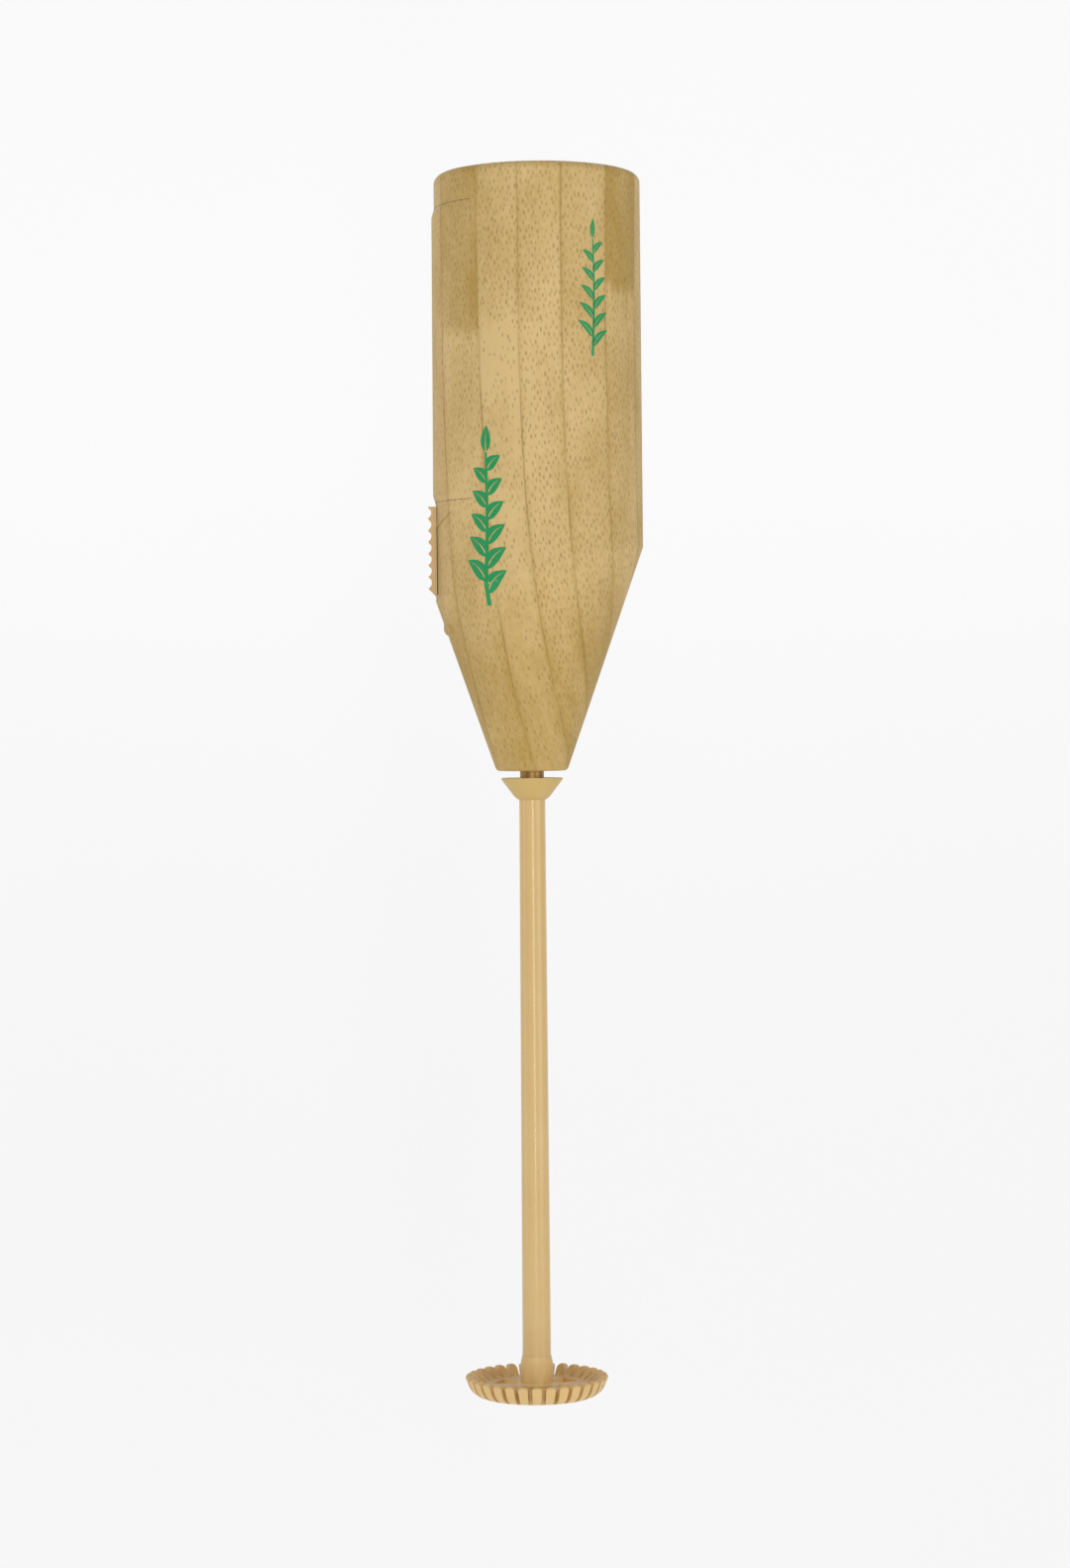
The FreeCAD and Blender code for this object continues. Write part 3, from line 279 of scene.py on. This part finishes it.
def board_values(look, strip, three_values):
    """Three values of the board that a point is on."""
    ramp = look.node("ValToRGB")
    ramp.color_ramp.interpolation = "CONSTANT"
    places = [i / len(BOARDS) for i in range(len(BOARDS))]
    ramp_stops(ramp, places, [three_values(board) for board in BOARDS])
    look.feed(ramp.inputs[0], strip)
    return look.channels(ramp.outputs[0])


def film_boards(look, along):
    """Board number, place across the board (0 to 1), height above its joint, and its values."""
    ramp = look.node("ValToRGB")
    edges = [board.left for board in BOARDS] + [FILM_END]
    places = [(edge - edges[0]) / (edges[-1] - edges[0]) for edge in edges]
    ramp_stops(ramp, places, [(i / len(BOARDS),) * 3 for i in range(len(edges))])
    look.feed(ramp.inputs[0], look.scaled(along, 0.5 / FILM_END, 0.5))
    counted = look.times(ramp.outputs[0], float(len(BOARDS)))
    number = look.math("FLOOR", counted)
    inside = look.math("FRACT", counted)
    strip = look.math("DIVIDE", look.plus(number, 0.5), float(len(BOARDS)))
    joint, dark_above, dark_below = board_values(look, strip, lambda board: (
        (board.joint + JOINT_SPAN) / (2 * JOINT_SPAN), board.dark_above, board.dark_below))
    dots_above, dots_below, _ = board_values(look, strip, lambda board: (
        board.dots_above, board.dots_below, 0.0))
    above = look.minus(look.z, look.scaled(joint, 2 * JOINT_SPAN, -JOINT_SPAN))
    return number, inside, above, (dark_above, dark_below), (dots_above, dots_below)


def between(look, factor, upper, lower):
    """The lower value at factor 0 and the upper value at factor 1."""
    return look.scaled(factor, look.minus(upper, lower), lower)


def film_noise(look, film, across, down, detail, roughness=0.55):
    """Unevenness of the print. A large across or down makes it fine in that direction."""
    along, depth, own = film
    place = look.vector(look.times(along, across), look.times(depth, down), own)
    return look.noise(place, detail=detail, roughness=roughness)


def film_dots(look, along, depth, number, amount):
    """Small upright dashes, the cut ends of the bamboo's fibres, in loose staggered rows."""
    column = look.scaled(along, 1 / DOT_COLUMN, look.times(number, DOT_SHIFT))
    row = look.math("DIVIDE", depth, DOT_ROW)
    cells = look.node("TexVoronoi", voronoi_dimensions="2D", feature="F1")
    cells.inputs["Scale"].default_value = 1.0
    cells.inputs["Randomness"].default_value = DOT_SCATTER
    look.feed(cells.inputs["Vector"], look.vector(look.plus(column, row), look.minus(column, row)))
    # each cell of the pattern has three chance numbers of its own
    size, rank, tone = look.channels(cells.outputs["Color"])
    reach = look.scaled(size, DOT_REACH_MORE, DOT_REACH)
    spot = look.step(cells.outputs["Distance"], look.times(reach, 0.55), look.times(reach, 1.5),
                     1.0, 0.0)
    shown = look.step(look.minus(amount, rank), -0.08, 0.12)
    strength = look.scaled(tone, 0.6, 0.4)
    return look.times(look.times(spot, shown), strength)


def upper_length(look, along, own, above):
    """1 on a board's upper length and 0 on its lower one, with a soft, ragged edge between."""
    ragged = look.noise(look.vector(look.times(along, 0.9), own), detail=2.0)
    return look.step(look.scaled(ragged, JOINT_RAGGED, above), *JOINT_SOFT)


def glue_lines(look, depth, own, to_edge):
    """Lines between the boards, sharp in places and faded in others."""
    fade = look.noise(look.vector(own, look.times(depth, 0.05)), detail=1.0)
    line = look.step(to_edge, 0.006, 0.030, 1.0, 0.0)
    return look.times(line, look.step(fade, 0.38, 0.66, 0.12, 0.95))


def pad_edge(look):
    """A faint shaded line along the arched upper edge of the thumb pad."""
    ring = look.distance(look.y, look.minus(look.z, PAD_ARCH_Z))
    away = look.math("ABSOLUTE", look.minus(ring, PAD_ARCH_RADIUS))
    line = look.step(away, *PAD_ARCH_LINE, 0.6, 0.0)
    on_front = look.step(look.x, *PAD_FRONT_X, 1.0, 0.0)
    under_top = look.step(look.z, *PAD_ARCH_TOP, 1.0, 0.0)
    return look.times(line, look.times(on_front, under_top))


def bamboo_film():
    """Printed bamboo film over satin plastic."""
    look = Look("bamboo_film")
    along, depth = film_place(look)
    number, inside, above, darkness, dottedness = film_boards(look, along)
    own = look.times(number, BOARD_SEED)
    film = (along, depth, own)
    upper = upper_length(look, along, own, above)
    dark = between(look, upper, *darkness)
    amount = between(look, upper, *dottedness)

    # broad clouds, fine upright fibres and short grain
    cloud = film_noise(look, film, 0.12, 0.06, 3.0)
    fibre = film_noise(look, film, 2.6, 0.17, 3.0, roughness=0.6)
    grain = film_noise(look, film, 1.5, 0.9, 2.0)
    for noise, weight in ((cloud, 1.5), (fibre, 0.45), (grain, 0.55)):
        dark = look.vary(dark, noise, weight)

    # a darker margin along each board, painted shade over the down-facing nose, and a line of painted
    # shade along the thumb pad's edge
    to_edge = look.math("MINIMUM", inside, look.minus(1.0, inside))
    margin = look.step(to_edge, 0.0, 0.12, 0.18, 0.0)
    # painted shade: the nose faces down, away from the light
    nose = look.step(depth, *NOSE_SHADE_DEPTH, 0.0, 0.62)
    for tone in (margin, nose, pad_edge(look)):
        dark = look.plus(dark, tone)

    lines = glue_lines(look, depth, own, to_edge)
    many = look.vary(look.plus(amount, 0.34), cloud, 0.9)
    dots = film_dots(look, along, depth, number, many)
    color = look.mix(dark, FILM_LIGHT, FILM_DARK)
    color = look.mix(look.times(dots, 0.58), color, FILM_LINE)
    color = look.mix(look.times(lines, 0.62), color, FILM_LINE)

    handled = look.noise(look.stretch(0.09, 0.09, 0.06), detail=4.0)
    relief = look.scaled(dots, -0.8, look.times(fibre, 0.35))
    look.bump(look.scaled(lines, -0.6, relief), 0.02, 0.35)
    return look.finish(color, look.scaled(handled, 0.14, 0.50), specular=0.22)


# ---------------------------------------------------------------- other materials

SKIN_SCALE = 9.0            # the fine unevenness of a moulded surface
SKIN_DEPTH = 0.01


def moulded_plastic(name, code, dark_code, roughness, specular, flow=(0.3, 0.3, 0.05)):
    """Semi-gloss moulded plastic: faint flow streaks, soft clouding and a fine skin."""
    look = Look(name)
    streak = look.noise(look.stretch(*flow), scale=1.4, detail=4.0)
    cloud = look.noise(look.place, scale=0.16, detail=3.0)
    skin = look.noise(look.place, scale=SKIN_SCALE, detail=2.0)
    factor = look.scaled(streak, 0.55, look.scaled(cloud, 0.7, -0.35))
    color = look.mix(factor, srgb(code), srgb(dark_code))
    rough = look.scaled(cloud, 0.16, roughness - 0.08)
    rough = look.scaled(skin, 0.05, rough)
    look.bump(skin, SKIN_DEPTH, 0.25)
    return look.finish(color, rough, specular=specular)


RIM_ABOVE_FOOT = (2.0, 3.5)   # the bowl's inside ends between these heights above its foot
HUB_EDGE = (2.9, 3.6)         # radii between which the hub gives way to the bowl


def bowl_inside(look, radius, foot_z):
    """How far a point of the whisk belongs to the inside of its bowl, 0 to 1: where the painted shade
    lies.
    """
    facing_x, facing_y, facing_z = look.facing()
    outward = look.plus(look.times(look.x, facing_x), look.times(look.y, facing_y))
    inner_wall = look.step(look.math("DIVIDE", outward, radius), -0.6, 0.2, 1.0, 0.0)
    upward = look.step(facing_z, 0.3, 0.9)
    under_rim = look.step(look.z, *[foot_z + above for above in RIM_ABOVE_FOOT], 1.0, 0.0)
    return look.math("MAXIMUM", inner_wall, look.times(upward, under_rim))


def whisk_plastic():
    """The whisk's plastic, with painted shade that makes it deeper and browner down inside the bowl.
    """
    look = Look("whisk_plastic")
    low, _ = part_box("whisk_head")
    radius = look.distance(look.x, look.y)
    bowl_shade = bowl_inside(look, radius, low.z / MM)
    off_hub = look.step(radius, *HUB_EDGE)
    cloud = look.noise(look.place, scale=0.5, detail=4.0)
    # how much painted shade: inside the bowl, off the hub, patchy with the cloud
    amount = look.times(look.times(bowl_shade, off_hub), look.scaled(cloud, 0.5, 0.5))
    streak = look.noise(look.stretch(0.6, 0.6, 0.2), scale=1.5, detail=3.0)
    skin = look.noise(look.place, scale=SKIN_SCALE, detail=2.0)
    color = look.mix(look.times(streak, 0.7), srgb("d9b87c"), srgb("c9a261"))
    # the darker, browner colour of the painted shade in the bowl
    color = look.mix(amount, color, srgb("be9149"))
    look.bump(skin, SKIN_DEPTH, 0.25)
    return look.finish(color, look.scaled(cloud, 0.16, 0.32))


def plated(name, code, dark_code, roughness, scale, pull=(1.0, 1.0, 1.0), wear=0.5):
    """Bare or plated metal with drawn scratches and dull patches."""
    look = Look(name)
    scratch = look.noise(look.stretch(*pull), scale=scale, detail=5.0, roughness=0.65)
    patch = look.noise(look.place, scale=0.35, detail=3.0)
    color = look.mix(look.times(patch, wear), srgb(code), srgb(dark_code))
    color = look.mix(look.times(scratch, 0.3), color, srgb(dark_code))
    rough = look.scaled(scratch, 0.22, roughness)
    rough = look.scaled(patch, 0.08, rough)
    look.bump(scratch, 0.012, 0.4)
    return look.finish(color, rough, metallic=1.0)


# heights in mm from a cell's negative end; each pair is a soft change
CELL_FOOT = (0.75, 0.85)
CELL_SHOULDER = (48.75, 48.85)
CELL_BAND = (35.0, 35.15)
RINGS_BEGIN = (36.2, 36.3)
RINGS_END = (39.8, 39.9)
RING_SPACING = 0.55


def cell_height(look):
    """Height above a cell's own negative end. The right cell stands upside down."""
    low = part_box("battery_cell_left")[0]
    flipped_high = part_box("battery_cell_right")[1]
    up = look.minus(look.z, low.z / MM)
    left = look.math("GREATER_THAN", look.y, 0.0)
    turned = look.minus(flipped_high.z / MM, look.z)
    return look.plus(look.times(left, up), look.times(look.minus(1.0, left), turned))


def cell_jacket():
    """AA cell: steel ends, a plain green and cream jacket with fine printed rings."""
    look = Look("cell_jacket")
    height = cell_height(look)
    steel = look.math("MAXIMUM", look.step(height, *CELL_FOOT, 1.0, 0.0),
                      look.step(height, *CELL_SHOULDER))
    cream = look.step(height, *CELL_BAND)
    ring = look.step(look.math("PINGPONG", height, RING_SPACING), 0.10, 0.16, 1.0, 0.0)
    in_rings = look.times(look.step(height, *RINGS_BEGIN), look.step(height, *RINGS_END, 1.0, 0.0))
    scuff = look.noise(look.stretch(1.0, 1.0, 0.3), scale=1.2, detail=5.0)
    color = look.mix(cream, srgb("3f6b50"), srgb("d9d2b8"))
    color = look.mix(look.times(ring, in_rings), color, srgb("2f4a39"))
    color = look.mix(look.times(scuff, 0.18), color, srgb("a8aaa2"))
    color = look.mix(steel, color, srgb("b9b9b6"))
    look.bump(scuff, 0.01, 0.3)
    return look.finish(color, look.scaled(scuff, 0.2, 0.22), metallic=look.scaled(steel, 0.75, 0.2))


def leaf_ink():
    """Green printing ink, a little uneven."""
    look = Look("leaf_ink")
    body = look.noise(look.place, scale=1.1, detail=4.0)
    speck = look.noise(look.place, scale=7.0, detail=2.0)
    color = look.mix(look.scaled(body, 1.2, -0.2), srgb("0b8647"), srgb("159355"))
    color = look.mix(look.step(speck, 0.62, 0.78, 0.0, 0.35), color, srgb("6fae7c"))
    look.bump(speck, 0.005, 0.3)
    return look.finish(color, look.scaled(body, 0.15, 0.38), specular=0.4)


SHEET_THICKNESS = 0.25      # of the armature's stack
WIRE_HALF_PITCH = 0.16      # of the armature's windings
WIRE_SLOPE = 0.35


def laminated_core():
    """The armature's stack of thin sheets."""
    look = Look("laminated_core")
    sheets = look.math("PINGPONG", look.z, SHEET_THICKNESS)
    line = look.step(sheets, 0.03, 0.08, 1.0, 0.0)
    patch = look.noise(look.place, scale=0.8, detail=3.0)
    color = look.mix(patch, srgb("8c8d8e"), srgb("6f7173"))
    color = look.mix(look.times(line, 0.7), color, srgb("3c3d3f"))
    look.bump(look.times(line, -1.0), 0.04, 0.6)
    return look.finish(color, look.scaled(patch, 0.2, 0.35), metallic=1.0)


def wound_copper():
    """Enamelled copper wire, turn beside turn."""
    look = Look("wound_copper")
    wound = look.plus(look.z, look.times(look.x, WIRE_SLOPE))
    turn = look.math("PINGPONG", wound, WIRE_HALF_PITCH)
    round_turn = look.step(turn, 0.0, WIRE_HALF_PITCH)
    shade = look.noise(look.place, scale=0.9, detail=3.0)
    color = look.mix(shade, srgb("b8662f"), srgb("8d4a22"))
    # painted shade in the crevice between neighbouring turns
    color = look.mix(look.step(turn, 0.0, 0.05, 0.8, 0.0), color, srgb("4a2412"))
    look.bump(round_turn, 0.08, 0.8)
    return look.finish(color, look.scaled(shade, 0.15, 0.25), metallic=0.8, coat=0.4)


def pressed_ferrite():
    """Dark, speckled magnet material."""
    look = Look("pressed_ferrite")
    speck = look.noise(look.place, scale=3.0, detail=5.0, roughness=0.7)
    color = look.mix(speck, srgb("2b2c2e"), srgb("47484a"))
    look.bump(speck, 0.03, 0.5)
    return look.finish(color, look.scaled(speck, 0.2, 0.55), specular=0.4)


DRAWN_DOWN = (1.0, 1.0, 0.25)       # scratches drawn out along Z
DRAWN_FAR_DOWN = (1.0, 1.0, 0.12)
TURNED_ROUND = (0.15, 0.15, 1.6)    # scratches running round


def outside_looks():
    """Materials of the nodes that show from outside, each with its nodes."""
    return {
        bamboo_film(): ("case_shell", "end_cap", "battery_door"),
        moulded_plastic("wand_plastic", "d0b076", "c6a464", 0.20, 0.55): ("wand_tube",),
        moulded_plastic("collar_plastic", "c7a96b", "ba9c5c", 0.40, 0.3): ("wand_collar",),
        whisk_plastic(): ("whisk_head",),
        moulded_plastic("button_plastic", "cba873", "bd995f", 0.45, 0.35,
                        flow=(0.4, 0.4, 0.4)): ("switch_button",),
        plated("spindle_brass", "c8a065", "98744a", 0.30, 4.0, TURNED_ROUND,
               wear=0.45): ("drive_spindle",),
    }


def inside_looks():
    """Materials of the nodes inside the grip, each with its nodes."""
    return {
        moulded_plastic("chassis_plastic", "e6dfcb", "d3cab2", 0.5, 0.4):
            ("inner_chassis", "switch_carrier"),
        moulded_plastic("bell_nylon", "eceae2", "dcd9cd", 0.42, 0.4): ("motor_end_bell",),
        cell_jacket(): ("battery_cell_left", "battery_cell_right"),
        plated("nickel_strip", "cfcac0", "a39c8d", 0.18, 2.2, DRAWN_DOWN):
            ("lower_spring", "upper_spring", "bridge_contact", "negative_contact",
             "positive_contact", "switch_contact"),
        plated("sintered_bronze", "b58a52", "8a6534", 0.38, 3.0):
            ("nose_bushing", "motor_front_bushing", "motor_rear_bushing"),
        plated("motor_steel", "b4b5b6", "8b8c8e", 0.25, 1.6, DRAWN_FAR_DOWN): ("motor_can",),
        plated("ground_steel", "a9a6a2", "77736d", 0.10, 4.0, TURNED_ROUND, wear=0.35):
            ("motor_shaft",),
        plated("bright_copper", "c98254", "9a5c38", 0.2, 2.0):
            ("switch_leaf", "motor_brushes", "motor_terminals", "commutator"),
        laminated_core(): ("armature_core",),
        wound_copper(): ("armature_windings",),
        pressed_ferrite(): ("motor_magnets",),
    }


def dress_cad():
    """Give every CAD node its material."""
    for material, names in {**outside_looks(), **inside_looks()}.items():
        for name in names:
            slots = nodes[name].data.materials
            slots.clear()
            slots.append(material)


# ---------------------------------------------------------------- pieces added to the CAD

def add_piece(name, points, faces, material, body):
    """A closed mesh piece that rides on a body, with its faces turned outward."""
    shape = bmesh.new()
    corners = [shape.verts.new(point) for point in points]
    for face in faces:
        shape.faces.new([corners[index] for index in face])
    bmesh.ops.recalc_face_normals(shape, faces=shape.faces)
    mesh = bpy.data.meshes.new(name)
    shape.to_mesh(mesh)
    shape.free()
    mesh.materials.append(material)
    piece = bpy.data.objects.new(name, mesh)
    bpy.context.scene.collection.objects.link(piece)
    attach(piece, body)
    return piece


# ---------------------------------------------------------------- printed leaf sprigs

CAST_FROM = 0.05            # metres from the grip's axis, well outside the case
STEM_STEPS = 80
STEM_SHARE = 0.86           # of the sprig's height
STEM_SWAY = 0.10            # sideways, as a share of a leaf's reach
LEAVES = 11
LEAF_LEAN = 46              # degrees from upright
LEAF_BEGIN = 0.04           # where a leaf's blade begins, as a share of its length
LEAF_RUN = 0.95             # and how far the blade runs from there
LEAF_STEPS = 10
RIB_SHARE = 0.07            # the bare midrib's half width at the root, as a share of the leaf's width
BUD_SHARE = 0.15            # of the sprig's height
BUD_ANGLE = 88              # degrees from level


def case_surface():
    """The case's outer surface, to lay the prints on."""
    mesh = nodes["case_shell"].data
    return BVHTree.FromPolygons([v.co for v in mesh.vertices], [p.vertices for p in mesh.polygons])


def on_case(surface, along_mm, height_mm, lift_mm):
    """A point on the grip: mm along its surface from the front, and a height."""
    angle = along_mm * MM / GRIP_RADIUS
    out = Vector((math.sin(angle), -math.cos(angle), 0))
    start = Vector((GRIP_AXIS_X, 0, height_mm * MM)) + out * CAST_FROM
    hit, normal, _, _ = surface.ray_cast(start, -out)
    return hit + normal * lift_mm * MM


def rim_of(tall, wide):
    """The places along the edge of a grid of points, once round."""
    rim = [(0, j) for j in range(wide)]
    rim += [(i, wide - 1) for i in range(1, tall)]
    rim += [(tall - 1, j) for j in range(wide - 2, -1, -1)]
    rim += [(i, 0) for i in range(tall - 2, 0, -1)]
    return rim


class Print:
    """A thin print on the case, gathered from small closed patches."""

    LIFT = 0.035
    SUNK = -0.02

    def __init__(self, surface):
        self.surface = surface
        self.points = []
        self.faces = []

    def patch(self, rows):
        """rows of (along, height) points, all of one length, as a thin closed slab."""
        tall = len(rows)
        wide = len(rows[0])
        start = len(self.points)
        for lift in (self.LIFT, self.SUNK):
            for row in rows:
                for along, height in row:
                    self.points.append(on_case(self.surface, along, height, lift))
        layer = tall * wide

        def at(level, i, j):
            return start + level * layer + i * wide + j

        for i in range(tall - 1):
            for j in range(wide - 1):
                quad = [at(0, i, j), at(0, i, j + 1), at(0, i + 1, j + 1), at(0, i + 1, j)]
                self.faces.append(quad)
                self.faces.append([index + layer for index in reversed(quad)])
        rim = rim_of(tall, wide)
        for (i, j), (i2, j2) in zip(rim, rim[1:] + rim[:1]):
            self.faces.append([at(0, i2, j2), at(0, i, j), at(1, i, j), at(1, i2, j2)])

    def ribbon(self, line, width, taper=0.55):
        """A stroke along a line of (along, height) points, narrower by taper at its end."""
        rows = []
        last = len(line) - 1
        for k, (u, v) in enumerate(line):
            before = line[max(k - 1, 0)]
            after = line[min(k + 1, last)]
            run = Vector((after[0] - before[0], after[1] - before[1])).normalized()
            half = width / 2 * (1 - taper * k / last)
            rows.append([(u + run.y * half, v - run.x * half), (u - run.y * half, v + run.x * half)])
        self.patch(rows)

    def leaf(self, root, angle, length, width, bend):
        """Two halves of a leaf with a bare midrib between them."""
        along = Vector((math.cos(angle), math.sin(angle)))
        across = Vector((-along.y, along.x))
        for side in (1, -1):
            rows = []
            for k in range(LEAF_STEPS + 1):
                t = LEAF_BEGIN + LEAF_RUN * k / LEAF_STEPS
                # the blade is widest a little below the leaf's middle
                half = width / 2 * math.sin(math.pi * t ** 0.8) ** 0.85
                middle = bend * length * math.sin(math.pi * t)
                rib = RIB_SHARE * width * (1 - t)
                row = []
                for s in (0.0, 0.5, 1.0):
                    out = middle + side * (rib + (half - rib) * s)
                    point = Vector(root) + along * length * t + across * out
                    row.append((point.x, point.y))
                rows.append(row)
            self.patch(rows)

    def finish(self, name, material):
        return add_piece(name, self.points, self.faces, material, "handle")


def sprig(surface, name, material, middle, foot, height, reach, stem, leaf_width):
    """An upright sprig: a stem with leaves in alternate places, smaller towards the tip, and a bud.

    middle and foot are where it stands on the grip, reach is about a leaf's length, all in mm.
    """
    art = Print(surface)

    def stem_at(t):
        return (middle + STEM_SWAY * reach * math.sin(2.6 * t), foot + height * STEM_SHARE * t)

    art.ribbon([stem_at(k / STEM_STEPS) for k in range(STEM_STEPS + 1)], stem)
    for k in range(LEAVES):
        t = 0.08 + 0.84 * k / (LEAVES - 0.5)
        side = 1 if k % 2 == 0 else -1
        angle = math.radians(90 - side * LEAF_LEAN)
        size = reach * (1.30 - 0.55 * t)
        art.leaf(stem_at(t), angle, size, leaf_width * (1.1 - 0.25 * t), bend=0.10 * side)
    art.leaf(stem_at(1.0), math.radians(BUD_ANGLE), height * BUD_SHARE, leaf_width * 0.8, bend=0.02)
    return art.finish(name, material)


def print_sprigs():
    """One sprig in each of the two places on the grip that carry a print."""
    surface = case_surface()
    ink = leaf_ink()
    sprig(surface, "print_large_sprig", ink, middle=-10.2, foot=-45.5, height=32.0, reach=4.6,
          stem=0.9, leaf_width=2.5)
    sprig(surface, "print_small_sprig", ink, middle=10.3, foot=-0.9, height=24.5, reach=3.6,
          stem=0.5, leaf_width=1.25)


# ---------------------------------------------------------------- skirts under the button

BUTTON_DEEP = 0.00126       # from the button's front to its flat underside
SKIRT_RADIUS = 0.01918      # a little more than the case's own
SKIRT_INSET = 0.0004        # from the button's side
SKIRT_OVERLAP = 0.00005     # into the button
SKIRT_START = 0.15          # of the way from the middle to the skirt's outer edge
SKIRT_STEPS = 12


def button_skirt(name, side):
    """A filler along one side of the button, from its flat underside down to the round case."""
    low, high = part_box("switch_button")
    top = low[0] + BUTTON_DEEP - SKIRT_OVERLAP
    edge = high[1] - SKIRT_INSET
    outline = [(top, edge), (top, SKIRT_START * edge)]
    for k in range(SKIRT_STEPS + 1):
        y = edge * (SKIRT_START + (1 - SKIRT_START) * k / SKIRT_STEPS)
        outline.append((GRIP_AXIS_X - math.sqrt(SKIRT_RADIUS ** 2 - y * y), y))
    points = [(x, side * y, z) for z in (low[2], high[2]) for x, y in outline]
    count = len(outline)
    faces = [list(range(count)), list(range(2 * count - 1, count - 1, -1))]
    for k in range(count):
        after = (k + 1) % count
        faces.append([after, k, count + k, count + after])
    material = bpy.data.materials["button_plastic"]
    return add_piece(name, points, faces, material, "switch")


# ---------------------------------------------------------------- stage, light and camera

FLOOR_DROP = 0.10           # from the whisk's lowest point to the floor
FLOOR_FRONT_Y = -2.2
WALL_Y = 0.9
WALL_TOP_Z = 2.2
SWEEP_BEND = 0.35
SWEEP_STEPS = 12
SWEEP_HALF_WIDTH = 2.0

PAPER_GLOW = 0.71
AIR_STRENGTH = 0.34
LAMP_TARGET = (0, 0, -0.07)
Lamp = namedtuple("Lamp", "name place wide high power")
LAMPS = [
    Lamp("key", (-0.35, -0.9, 0.35), 0.5, 0.7, 1.9),
    Lamp("fill", (0.75, -0.55, 0.0), 0.5, 0.9, 2.3),
    Lamp("side", (-0.85, -0.1, 0.0), 0.4, 0.9, 1.1),
    Lamp("strip", (0.06, -1.1, 0.0), 0.05, 0.9, 3.4),
]

EYE_Z = -0.0682
CAMERA_DISTANCE = 0.638
CAMERA_X = 0.00062
VIEW_HEIGHT_ANGLE = math.radians(25.57)
LOOK_DOWN = math.radians(0.876)
ROLL = math.radians(0.47)
SENSOR_HEIGHT = 24.0        # Blender's own unit for it, millimetres
CLIP_START = 0.05


def studio_paper():
    """Pale matt studio paper with a little light of its own."""
    look = Look("studio_paper")
    tone = look.noise(look.place, scale=0.004, detail=2.0)
    color = look.mix(tone, srgb("9c9c9c"), srgb("989898"))
    look.shader.inputs["Emission Color"].default_value = srgb("ffffff")
    look.shader.inputs["Emission Strength"].default_value = PAPER_GLOW
    return look.finish(color, 0.9, specular=0.0)


def studio():
    """A pale floor that curves up into a pale wall, well away from the whisk."""
    floor_z = cad_box[0].z - FLOOR_DROP
    profile = [(FLOOR_FRONT_Y, floor_z)]
    for k in range(SWEEP_STEPS + 1):
        angle = math.pi / 2 * k / SWEEP_STEPS
        profile.append((WALL_Y - SWEEP_BEND + SWEEP_BEND * math.sin(angle),
                        floor_z + SWEEP_BEND - SWEEP_BEND * math.cos(angle)))
    profile.append((WALL_Y, WALL_TOP_Z))
    points = [(x, y, z) for x in (-SWEEP_HALF_WIDTH, SWEEP_HALF_WIDTH) for y, z in profile]
    count = len(profile)
    faces = [(k, k + 1, count + k + 1, count + k) for k in range(count - 1)]
    mesh = bpy.data.meshes.new("studio_sweep")
    mesh.from_pydata(points, [], faces)
    mesh.update()
    for polygon in mesh.polygons:
        polygon.use_smooth = True
    mesh.materials.append(studio_paper())
    sweep = bpy.data.objects.new("studio_sweep", mesh)
    bpy.context.scene.collection.objects.link(sweep)


def hang_lamp(lamp):
    """A soft area lamp that faces the middle of the whisk."""
    light = bpy.data.lights.new(lamp.name, "AREA")
    light.shape = "RECTANGLE"
    light.size = lamp.wide
    light.size_y = lamp.high
    light.energy = lamp.power
    holder = bpy.data.objects.new(lamp.name, light)
    holder.location = lamp.place
    toward = Vector(LAMP_TARGET) - Vector(lamp.place)
    holder.rotation_euler = toward.to_track_quat("-Z", "Y").to_euler()
    bpy.context.scene.collection.objects.link(holder)


def lights():
    """Even white light from all round, and the lamps."""
    world = bpy.data.worlds.new("studio_air")
    world.use_nodes = True
    background = world.node_tree.nodes["Background"]
    background.inputs["Color"].default_value = srgb("ffffff")
    background.inputs["Strength"].default_value = AIR_STRENGTH
    bpy.context.scene.world = world
    for lamp in LAMPS:
        hang_lamp(lamp)


def camera():
    """The photograph's viewing angle: from the front, a little down, and a little rolled."""
    data = bpy.data.cameras.new("camera")
    data.sensor_fit = "VERTICAL"
    data.sensor_height = SENSOR_HEIGHT
    data.lens = SENSOR_HEIGHT / (2 * math.tan(VIEW_HEIGHT_ANGLE / 2))
    data.clip_start = CLIP_START
    holder = bpy.data.objects.new("camera", data)
    holder.location = (CAMERA_X, -CAMERA_DISTANCE, EYE_Z)
    holder.rotation_euler = (math.pi / 2 - LOOK_DOWN, ROLL, 0)
    bpy.context.scene.collection.objects.link(holder)
    bpy.context.scene.camera = holder


dress_cad()
print_sprigs()
button_skirt("button_skirt_front", -1)
button_skirt("button_skirt_back", 1)
studio()
lights()
camera()
bpy.context.scene.view_settings.view_transform = "Standard"
